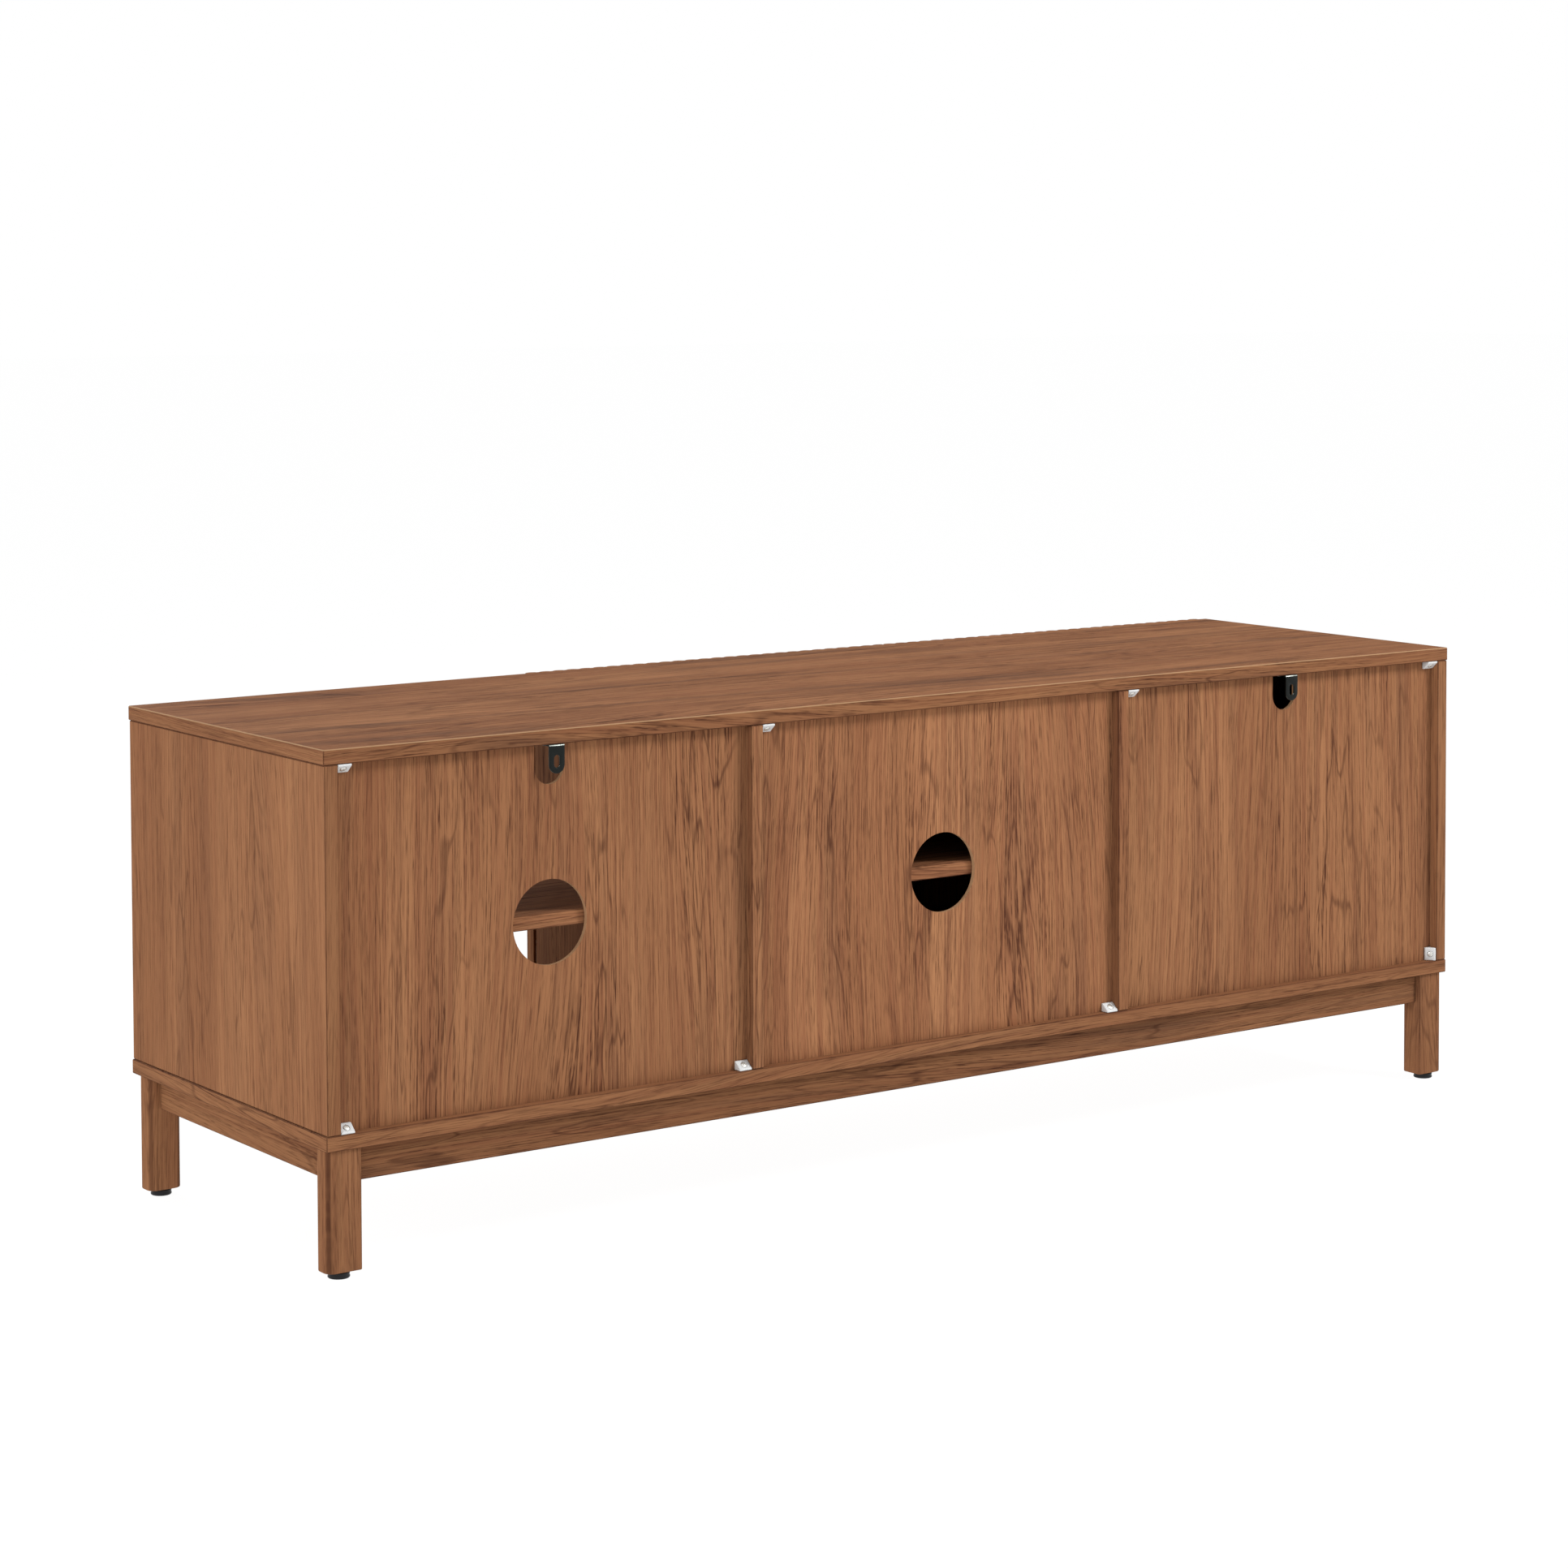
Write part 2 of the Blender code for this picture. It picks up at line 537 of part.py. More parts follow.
def make_hinge_cup(name, door, pivot, z):
    bm = bmesh.new()
    centre = (door_x(door, CUP_CENTRE_IN), z)
    add_cylinder(bm, "Y", centre, CUP_RADIUS, hinge_y(CUP_DEPTH),
                 hinge_y(-SEAT_GAP - FLANGE_THICKNESS / 2), CUP_SIDES)
    cup = make_object(name, bm, finish_material(f"nickel_{name}", "nickel"), parent=pivot,
                      smooth=True)
    wing = FLANGE_HALF_HEIGHT
    near = CUP_FROM_EDGE - FLANGE_NEAR_LIP
    far = CUP_CENTRE_IN + CUP_RADIUS + FLANGE_FAR_LIP
    outline = [(near, FLANGE_NECK), (near, -FLANGE_NECK), (FLANGE_WAIST, -wing),
               (far - FLANGE_CORNER, -wing), (far, FLANGE_CORNER - wing), (far, wing - FLANGE_CORNER),
               (far - FLANGE_CORNER, wing), (FLANGE_WAIST, wing)]
    flange = bmesh.new()
    add_prism(flange, [(door_x(door, along), z + up) for along, up in outline], "Y",
              hinge_y(-SEAT_GAP), hinge_y(-SEAT_GAP - FLANGE_THICKNESS))
    combine(cup, flange, "flange", "UNION")
    recess = bmesh.new()
    add_cylinder(recess, "Y", centre, CUP_RADIUS - CUP_WALL, hinge_y(CUP_DEPTH - CUP_WALL),
                 hinge_y(-BOARD), CUP_SIDES)
    combine(cup, recess, "recess")
    ears = bmesh.new()
    for way in (1, -1):
        add_box(ears, (door_x(door, PIVOT_IN - EYE_RADIUS), door_x(door, PIVOT_IN + EYE_RADIUS)),
                (hinge_y(CUP_DEPTH - CUP_WALL / 2), hinge_y(PIVOT_OUT - EYE_RADIUS)),
                (z + way * (ARM_HALF_HEIGHT + EAR_PLAY), z + way * (PIN_HALF_LENGTH + EAR_OVER_PIN)))
    combine(cup, ears, "ears", "UNION")
    pin = bmesh.new()
    add_cylinder(pin, "Z", (door_x(door, PIVOT_IN), hinge_y(PIVOT_OUT)), PIN_RADIUS,
                 z - PIN_HALF_LENGTH, z + PIN_HALF_LENGTH)
    combine(cup, pin, "pivot_pin", "UNION")


def make_hinge_arm(name, door, z):
    # The arm lies along the wall, passes the front edge and hooks into the cup round the pin.
    wall_in = abs(door["wall"] - door["edge"])
    base = wall_in + PLATE_THICKNESS + 2 * SEAT_GAP
    run = (ARM_RUN_IN, ARM_RUN_IN + ARM_THICKNESS)
    spread = math.asin(ARM_THICKNESS / 2 / EYE_RADIUS)
    eye = circle_points((PIVOT_IN, PIVOT_OUT), EYE_RADIUS, EYE_POINTS, -spread,
                        2 * spread - 2 * math.pi, closed=False)
    outline = [(base, -ARM_LENGTH), (base, -ARM_BEND_END), (run[0], -ARM_BEND_START),
               (run[0], PIVOT_OUT - ARM_THICKNESS / 2)] + eye
    outline += [(run[1], PIVOT_OUT + ARM_THICKNESS / 2), (run[1], -ARM_BEND_START),
                (run[1] + ARM_STEP, -ARM_BEND_END), (run[1] + ARM_STEP, -ARM_LENGTH)]
    bm = bmesh.new()
    add_prism(bm, [(door_x(door, along), hinge_y(out)) for along, out in outline], "Z",
              z - ARM_HALF_HEIGHT, z + ARM_HALF_HEIGHT)
    arm = make_object(name, bm, finish_material(f"nickel_{name}", "nickel"))
    bore = bmesh.new()
    add_cylinder(bore, "Z", (door_x(door, PIVOT_IN), hinge_y(PIVOT_OUT)), PIN_RADIUS + FIT_GAP,
                 z - BOARD, z + BOARD, SCREW_SIDES)
    combine(arm, bore, "pin_bore")


def make_hinge_plate(name, door, z):
    bm = bmesh.new()
    face = door["wall"] + door["way"] * SEAT_GAP
    add_box(bm, (face, face + door["way"] * PLATE_THICKNESS),
            (hinge_y(-PLATE_FROM_DOOR), hinge_y(-PLATE_FROM_DOOR - PLATE_LENGTH)),
            (z - PLATE_HALF_HEIGHT, z + PLATE_HALF_HEIGHT))
    plate = make_object(name, bm, finish_material(f"nickel_{name}", "nickel"))
    ease_edges(plate, PLATE_EASE)


# ---- Push latches ----------------------------------------------------------------------------
LATCHES = {"left": (-PARTITION_OUTER_X, -1), "right": (-PARTITION_INNER_X, 1)}
LATCH_MIDDLE_Z = TOP_UNDERSIDE_Z - LATCH_TOP_GAP - LATCH_HEIGHT / 2
LATCH_FRONT_Y = DOOR_BACK_Y + SEAT_GAP + PLUNGER_OUT


def make_latches():
    for side, (wall, way) in LATCHES.items():
        near = wall + way * SEAT_GAP
        far = near + way * LATCH_WIDTH
        middle = (near + far) / 2
        bm = bmesh.new()
        add_box(bm, (near, far), (LATCH_FRONT_Y, LATCH_FRONT_Y + LATCH_LENGTH),
                (LATCH_MIDDLE_Z - LATCH_HEIGHT / 2, LATCH_MIDDLE_Z + LATCH_HEIGHT / 2))
        body = make_object(f"latch_body_{side}", bm,
                           finish_material(f"latch_white_{side}", "clip"))
        ease_edges(body, LATCH_EASE, 2)
        bore = bmesh.new()
        add_cylinder(bore, "Y", (middle, LATCH_MIDDLE_Z), PLUNGER_RADIUS + FIT_GAP, LATCH_FRONT_Y - BOARD,
                     LATCH_FRONT_Y + PLUNGER_STEM + PLUNGER_TRAVEL + FIT_GAP)
        combine(body, bore, "bore")
        place = (middle, LATCH_FRONT_Y, LATCH_MIDDLE_Z)
        slide = joint_empty(f"slide_plunger_{side}", place)
        plunger = bmesh.new()
        tip = LATCH_FRONT_Y - PLUNGER_OUT
        add_turned(plunger, "Y", (middle, LATCH_MIDDLE_Z),
                   [(PLUNGER_RADIUS - PLUNGER_EASE, tip), (PLUNGER_RADIUS, tip + PLUNGER_EASE),
                    (PLUNGER_RADIUS, LATCH_FRONT_Y + PLUNGER_STEM)], PIN_SIDES)
        make_object(f"latch_plunger_{side}", plunger,
                    finish_material(f"plunger_white_{side}", "clip"),
                    origin=place, parent=slide, smooth=True)


# ---- Back clips and wall brackets -----------------------------------------------------------
# Each wedge clip: its bay, the board it sits against, and which end of the bay it is at.
CLIPS = {"right_top": ("right", "top", 1), "right_bottom_outer": ("right", "bottom", 1),
         "right_bottom_inner": ("right", "bottom", -1), "middle_top": ("middle", "top", 1),
         "middle_bottom": ("middle", "bottom", -1), "left_top_inner": ("left", "top", 1),
         "left_top_outer": ("left", "top", -1), "left_bottom": ("left", "wall", -1)}


def clip_outline():
    # (y, distance from the board) of the wedge: deep at the back panel, thin at the rear edge.
    deep = BACK_REAR_Y + SEAT_GAP
    thin = REAR_Y - 2 * SEAT_GAP
    return [(deep, SEAT_GAP), (thin, SEAT_GAP), (thin, CLIP_TIP), (deep + CLIP_TIP, CLIP_HEIGHT),
            (deep, CLIP_HEIGHT)]


def make_clips():
    for name, (bay, edge, end) in CLIPS.items():
        low, high = BAYS[bay]
        wall = high if end > 0 else low
        bm = bmesh.new()
        if edge == "wall":
            outline = [(wall - end * out, y) for y, out in clip_outline()]
            add_prism(bm, outline, "Z", FLOOR_TOP_Z + SEAT_GAP, FLOOR_TOP_Z + SEAT_GAP + CLIP_WIDTH)
        else:
            way = -1 if edge == "top" else 1
            surface = TOP_UNDERSIDE_Z if edge == "top" else FLOOR_TOP_Z
            outline = [(y, surface + way * out) for y, out in clip_outline()]
            near = wall - end * SEAT_GAP
            add_prism(bm, outline, "X", near, near - end * CLIP_WIDTH)
        clip = make_object(f"back_clip_{name}", bm, finish_material(f"clip_white_{name}", "clip"))
        ease_edges(clip)


def bracket_centres():
    return [middle_of(BAYS[bay]) + BRACKET_SHIFT for bay in ("left", "right")]


def bracket_screw_y():
    return BACK_FRONT_Y - BRACKET_SCREW_INSET


def make_brackets():
    rear = REAR_Y
    top = TOP_UNDERSIDE_Z - SEAT_GAP
    low = TOP_UNDERSIDE_Z - BRACKET_DROP
    half = BRACKET_WIDTH / 2
    for bay, x in zip(("left", "right"), bracket_centres()):
        leaf = circle_points((x, low + half), half, NOTCH_POINTS, math.pi, math.pi, closed=False)
        leaf += [(x + half, top), (x - half, top)]
        bm = bmesh.new()
        add_prism(bm, leaf, "Y", rear - BRACKET_THICKNESS, rear)
        bracket = make_object(f"wall_bracket_{bay}", bm,
                              finish_material(f"bracket_black_{bay}", "dark_steel"))
        shelf_leaf = bmesh.new()
        add_box(shelf_leaf, (x - half, x + half), (rear - BRACKET_REACH, rear - BRACKET_THICKNESS / 2),
                (top - BRACKET_THICKNESS, top))
        combine(bracket, shelf_leaf, "top_leaf", "UNION")
        slot = bmesh.new()
        slot_radius = BRACKET_SLOT_WIDTH / 2
        slot_mid = TOP_UNDERSIDE_Z - BRACKET_DROP / 2 - BRACKET_SLOT_DROP
        straight = BRACKET_SLOT_LENGTH / 2 - slot_radius
        ends = circle_points((x, slot_mid + straight), slot_radius, SLOT_POINTS, 0.0, math.pi, closed=False)
        ends += circle_points((x, slot_mid - straight), slot_radius, SLOT_POINTS, math.pi, math.pi,
                              closed=False)
        add_prism(slot, ends, "Y", rear - BOARD / 2, rear + BOARD)
        combine(bracket, slot, "slot")
        screw_place = (x, bracket_screw_y())
        seat = top - BRACKET_THICKNESS - SEAT_GAP
        screw_hole = bmesh.new()
        add_cylinder(screw_hole, "Z", screw_place, SCREW_RADIUS + FIT_GAP, seat - BOARD, top + BOARD,
                     BORE_SIDES)
        combine(bracket, screw_hole, "screw_hole")
        screw = bmesh.new()
        add_screw(screw, screw_place, seat, 1, SCREW_HEAD_RADIUS, SCREW_HEAD_HEIGHT, SCREW_RADIUS,
                  SCREW_GRIP + BRACKET_THICKNESS)
        make_object(f"bracket_screw_{bay}", screw,
                    finish_material(f"bracket_screw_steel_{bay}", "nickel"), smooth=True)


clear_scene()
make_top_panel()
make_bottom_panel()
make_uprights()
make_back_panels()
make_shelves()
make_legs()
make_aprons()
for door_side, door_facts in DOORS.items():
    make_door(door_side, door_facts)
make_latches()
make_clips()
make_brackets()
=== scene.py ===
import math

import bmesh
import bpy
from mathutils import Matrix, Vector


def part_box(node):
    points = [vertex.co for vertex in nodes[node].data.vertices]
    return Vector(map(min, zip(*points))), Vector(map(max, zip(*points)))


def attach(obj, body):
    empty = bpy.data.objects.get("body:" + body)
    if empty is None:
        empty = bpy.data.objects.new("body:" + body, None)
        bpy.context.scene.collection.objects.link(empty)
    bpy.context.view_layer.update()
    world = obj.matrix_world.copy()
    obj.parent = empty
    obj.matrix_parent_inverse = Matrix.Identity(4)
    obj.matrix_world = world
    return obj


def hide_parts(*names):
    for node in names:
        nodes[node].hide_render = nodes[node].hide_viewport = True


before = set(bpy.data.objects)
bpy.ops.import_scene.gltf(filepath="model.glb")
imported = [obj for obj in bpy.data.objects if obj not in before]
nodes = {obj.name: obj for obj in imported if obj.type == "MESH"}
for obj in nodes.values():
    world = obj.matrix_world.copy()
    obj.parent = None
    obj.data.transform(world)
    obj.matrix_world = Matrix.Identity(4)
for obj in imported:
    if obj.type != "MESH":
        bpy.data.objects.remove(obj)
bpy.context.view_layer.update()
print("frame loaded:", len(nodes), "nodes")


# small helpers that several pieces share

def addObject(name, mesh, material=None):
    obj = bpy.data.objects.new(name, mesh)
    bpy.context.collection.objects.link(obj)
    if material:
        mesh.materials.clear()
        mesh.materials.append(material)
    return obj


def bmToObject(name, bm, material=None):
    bmesh.ops.recalc_face_normals(bm, faces=bm.faces)
    mesh = bpy.data.meshes.new(name)
    bm.to_mesh(mesh)
    bm.free()
    return addObject(name, mesh, material)


def bakeModifiers(obj, material=None):
    # the evaluated shape becomes a plain mesh, and the modifiers go
    bpy.context.view_layer.update()
    depsgraph = bpy.context.evaluated_depsgraph_get()
    mesh = bpy.data.meshes.new_from_object(obj.evaluated_get(depsgraph))
    name = obj.name
    bpy.data.objects.remove(obj, do_unlink=True)
    mesh.name = name
    return addObject(name, mesh, material)


def smooth(obj, angle=35):
    obj.data.shade_smooth()
    obj.data.set_sharp_from_angle(angle=math.radians(angle))
    return obj


def bevel(obj, width, segments=2, angle=40):
    mod = obj.modifiers.new("edges", "BEVEL")
    mod.width = width
    mod.segments = segments
    mod.limit_method = "ANGLE"
    mod.angle_limit = math.radians(angle)
    mod.harden_normals = False
    return mod


def cut(obj, tool):
    mod = obj.modifiers.new("cut", "BOOLEAN")
    mod.operation = "DIFFERENCE"
    mod.solver = "EXACT"
    mod.object = tool
    return mod


def boxInto(bm, low, high):
    corners = [bm.verts.new((x, y, z)) for x in (low[0], high[0]) for y in (low[1], high[1])
               for z in (low[2], high[2])]
    for face in ((0, 1, 3, 2), (4, 6, 7, 5), (0, 4, 5, 1), (2, 3, 7, 6), (0, 2, 6, 4), (1, 5, 7, 3)):
        bm.faces.new([corners[i] for i in face])


def skinInto(bm, rings):
    # closes a stack of matching rings: the two ends, then the sides
    bm.faces.new(rings[0])
    bm.faces.new(rings[-1])
    for lower, upper in zip(rings, rings[1:]):
        for i in range(len(lower)):
            j = (i + 1) % len(lower)
            bm.faces.new((lower[i], lower[j], upper[j], upper[i]))


def revolveInto(bm, profile, sides, place):
    # profile of (radius, height) from the bottom up, closed at both ends
    turns = [2 * math.pi * i / sides for i in range(sides)]
    rings = []
    for radius, height in profile:
        rings.append([bm.verts.new(place @ Vector((radius * math.cos(t), radius * math.sin(t), height)))
                      for t in turns])
    skinInto(bm, rings)


def arc(centre, radius, startDegrees, sweepDegrees, steps):
    turns = [math.radians(startDegrees + sweepDegrees * i / steps) for i in range(steps + 1)]
    return [(centre[0] + radius * math.cos(t), centre[1] + radius * math.sin(t)) for t in turns]


# camera

cameraSettings = {
    "place": (2.5707, 3.5437, 1.0549),
    "yaw": 35.346,          # degrees, off the straight look at the cabinet's back
    "pitch": 2.852,         # degrees, looking down
    "roll": -0.178,
    "focalLength": 84.81,
    "sensorWidth": 36,
    "shiftUp": -0.2247,
    "sightLimit": 50,       # metres
}


def makeCamera(settings):
    yaw, pitch, roll = (math.radians(settings[k]) for k in ("yaw", "pitch", "roll"))
    right = Vector((-math.cos(yaw), math.sin(yaw), 0))
    forward = Vector((-math.sin(yaw) * math.cos(pitch), -math.cos(yaw) * math.cos(pitch),
                      -math.sin(pitch)))
    up = right.cross(forward)
    turnedRight = right * math.cos(roll) + up * math.sin(roll)
    turnedUp = up * math.cos(roll) - right * math.sin(roll)
    data = bpy.data.cameras.new("camera")
    data.lens = settings["focalLength"]
    data.sensor_width = settings["sensorWidth"]
    data.shift_y = settings["shiftUp"]
    data.clip_end = settings["sightLimit"]
    camera = bpy.data.objects.new("camera", data)
    bpy.context.collection.objects.link(camera)
    turn = Matrix((turnedRight, turnedUp, -forward)).transposed()
    camera.matrix_world = Matrix.Translation(settings["place"]) @ turn.to_4x4()
    bpy.context.scene.camera = camera


makeCamera(cameraSettings)


# light and floor

lightSettings = {
    "horizon": 1.0,
    "zenith": 0.25,
    "fadeFrom": 0.12,       # heights of the sight line between which the surround fades
    "fadeTo": 0.45,
    "aimHeight": 0.3,
    "lamps": {
        "key": {"power": 60, "place": (4.0, 1.3, 1.7), "size": 1.8},
        "back": {"power": 122, "place": (-2.2, 2.6, 3.0), "size": 1.4},
        "top": {"power": 23, "place": (0.0, 0.0, 3.0), "size": 2.2},
        "front": {"power": 78, "place": (0.8, -3.4, 1.9), "size": 2.2},
    },
}
floorSettings = {"size": 60.0, "drop": 0.0005, "colour": (0.08, 0.08, 0.08), "glow": 0.97,
                 "roughness": 0.9}


def makeLamp(name, lamp, aimHeight):
    data = bpy.data.lights.new(name, "AREA")
    data.shape = "DISK"
    data.size = lamp["size"]
    data.energy = lamp["power"]
    obj = bpy.data.objects.new(name, data)
    bpy.context.collection.objects.link(obj)
    obj.location = lamp["place"]
    aim = Vector((0, 0, aimHeight)) - Vector(lamp["place"])
    obj.rotation_euler = aim.to_track_quat("-Z", "Y").to_euler()


def makeWorld(lights):
    # a white surround that falls off overhead, so the lamps still draw soft shadows
    world = bpy.data.worlds.new("studio")
    world.use_nodes = True
    tree = world.node_tree
    background = tree.nodes["Background"]
    direction = tree.nodes.new("ShaderNodeTexCoord")
    height = tree.nodes.new("ShaderNodeSeparateXYZ")
    fade = tree.nodes.new("ShaderNodeMapRange")
    for key, value in (("From Min", lights["fadeFrom"]), ("From Max", lights["fadeTo"]),
                       ("To Min", lights["horizon"]), ("To Max", lights["zenith"])):
        fade.inputs[key].default_value = value
    tree.links.new(direction.outputs["Generated"], height.inputs[0])
    tree.links.new(height.outputs[2], fade.inputs["Value"])
    tree.links.new(fade.outputs["Result"], background.inputs["Color"])
    return world


def makeFloor(settings):
    # glows like a light table, so it stays white around the cabinet
    bm = bmesh.new()
    half = settings["size"] / 2
    corners = ((-half, -half), (half, -half), (half, half), (-half, half))
    bm.faces.new([bm.verts.new((x, y, -settings["drop"])) for x, y in corners])
    pale = bpy.data.materials.new("paleFloor")
    pale.use_nodes = True
    shader = pale.node_tree.nodes["Principled BSDF"]
    shader.inputs["Base Color"].default_value = (*settings["colour"], 1)
    shader.inputs["Roughness"].default_value = settings["roughness"]
    shader.inputs["Specular IOR Level"].default_value = 0.0
    shader.inputs["Emission Color"].default_value = (1, 1, 1, 1)
    shader.inputs["Emission Strength"].default_value = settings["glow"]
    ground = bmToObject("floor", bm, pale)


def makeStage(lights, floor):
    scene = bpy.context.scene
    scene.view_settings.view_transform = "Standard"
    scene.world = makeWorld(lights)
    for name, lamp in lights["lamps"].items():
        makeLamp(name + "Light", lamp, lights["aimHeight"])
    makeFloor(floor)


makeStage(lightSettings, floorSettings)
print("camera, light and floor made")


# walnut-look laminate

walnutSettings = {
    "light": (0.352, 0.163, 0.076),
    "middle": (0.280, 0.123, 0.057),
    "warm": (0.212, 0.080, 0.040),
    "shade": (0.134, 0.065, 0.038),
    "line": (0.058, 0.020, 0.012),
    "edge": (0.420, 0.250, 0.135),     # the raw core, and the painted highlight on the top panel's upward eased edges

    # the field that the growth rings follow; each scale is across and along the grain
    "archReach": 0.152,                # how far the figure swings sideways
    "archScale": (5.6, 0.75),
    "trembleReach": 0.0020,
    "trembleScale": (34.0, 7.0),
    "crowdScale": (13.0, 2.4),         # where the lines stand thick
    "crowdSpan": (0.38, 0.62),
    "crowdLeast": 0.30,
    "sideDrift": 0.02,                 # how slowly a pattern changes through a board's thickness

    # noises drawn out along the rings: how many across a metre, how long in metres, and the
    # part of the noise over which each comes in
    "bands": {"across": 16.0, "length": 0.80, "detail": 1.5, "span": (0.36, 0.66)},
    "streaks": {"across": 230.0, "length": 0.32, "detail": 2.5, "roughness": 0.6,
                "span": (0.44, 0.62), "strength": 0.58},
    "shades": {"across": 34.0, "length": 0.55, "detail": 2.0, "span": (0.52, 0.70)},
    "breaks": {"across": 800.0, "length": 0.018, "detail": 1.0, "span": (0.42, 0.56)},
    "breakLeast": 0.35,
    "pores": {"across": 900.0, "length": 0.025, "detail": 1.5, "roughness": 0.6},
    "darkPores": (0.56, 0.74, 0.30),   # where they start, where they are full, how strong
    "palePores": (0.44, 0.30, 0.22),

    # thin lines where such a noise crosses its middle value
    "figure": {"across": 48.0, "length": 0.20, "detail": 1.0, "width": 0.022, "strength": 0.58},
    "lines": {"across": 280.0, "length": 0.32, "detail": 1.0, "width": 0.050, "strength": 0.86},
    "fineLines": {"across": 560.0, "length": 0.16, "detail": 1.0, "width": 0.060,
                  "strength": 0.55},

    "roughness": 0.74,
    "lineRoughness": 0.12,
    "sheen": 0.025,
    "seamShade": 0.55,                      # painted shade: how dark the eased edges are, as in the seams
    "rawCore": 0.7,
    # parts of the normal by which a face counts as a board's end, eased edge, cut rim, banded
    # edge or upward edge that takes the painted highlight; a pair fades in from its first value to its
    # second
    "endFrom": 0.75,
    "easedSpan": (0.93, 0.80),
    "cutSpan": (0.6, 0.3),
    "bandedSpan": (0.6, 0.8),
    "highlightSpan": (0.2, 0.5),
    "bump": 0.00006,
    "bumpStrength": 0.35,
}


class Nodes:
    # short way to write a node tree
    def __init__(self, tree):
        self.tree = tree

    def add(self, kind, inputs=None, **properties):
        node = self.tree.nodes.new(kind)
        for key, value in properties.items():
            setattr(node, key, value)
        for key, value in (inputs or {}).items():
            self.plug(node.inputs[key], value)
        return node

    def plug(self, socket, value):
        if isinstance(value, bpy.types.NodeSocket):
            self.tree.links.new(value, socket)
        else:
            socket.default_value = value

    def math(self, operation, a, b=0.0):
        return self.add("ShaderNodeMath", {0: a, 1: b}, operation=operation).outputs[0]

    def vector(self, operation, a, b):
        return self.add("ShaderNodeVectorMath", {0: a, 1: b}, operation=operation).outputs[0]

    def noise(self, vector, detail=2.0, roughness=0.5):
        node = self.add("ShaderNodeTexNoise", {"Vector": vector, "Scale": 1.0, "Detail": detail,
                                               "Roughness": roughness})
        return node.outputs["Fac"]

    def remap(self, value, fromLow, fromHigh, toLow=0.0, toHigh=1.0):
        node = self.add("ShaderNodeMapRange", {"Value": value, "From Min": fromLow,
                                               "From Max": fromHigh, "To Min": toLow,
                                               "To Max": toHigh})
        return node.outputs["Result"]

    def mix(self, factor, a, b, blend="MIX"):
        node = self.tree.nodes.new("ShaderNodeMix")
        node.data_type = "RGBA"
        node.blend_type = blend
        self.plug(node.inputs["Factor"], factor)
        for name, value in (("A", a), ("B", b)):
            socket = [s for s in node.inputs if s.name == name and s.type == "RGBA"][0]
            self.plug(socket, value)
        return [s for s in node.outputs if s.type == "RGBA"][0]

    def evenNoise(self, vector, scale, detail):
        return self.noise(self.vector("MULTIPLY", vector, (scale, scale, scale)), detail)

    def steepest(self, normal):
        # 1 on a face square to an axis, less on a rounded edge
        x, y, z = [self.math("ABSOLUTE", normal.outputs[i]) for i in range(3)]
        return self.math("MAXIMUM", x, self.math("MAXIMUM", y, z))

    def bump(self, shader, height, distance, strength):
        node = self.add("ShaderNodeBump", {"Height": height, "Distance": distance,
                                           "Strength": strength})
        self.plug(shader.inputs["Normal"], node.outputs["Normal"])


def newMaterial(name):
    material = bpy.data.materials.new(name)
    material.use_nodes = True
    return material, Nodes(material.node_tree), material.node_tree.nodes["Principled BSDF"]


def colour(values):
    return (*values, 1.0)


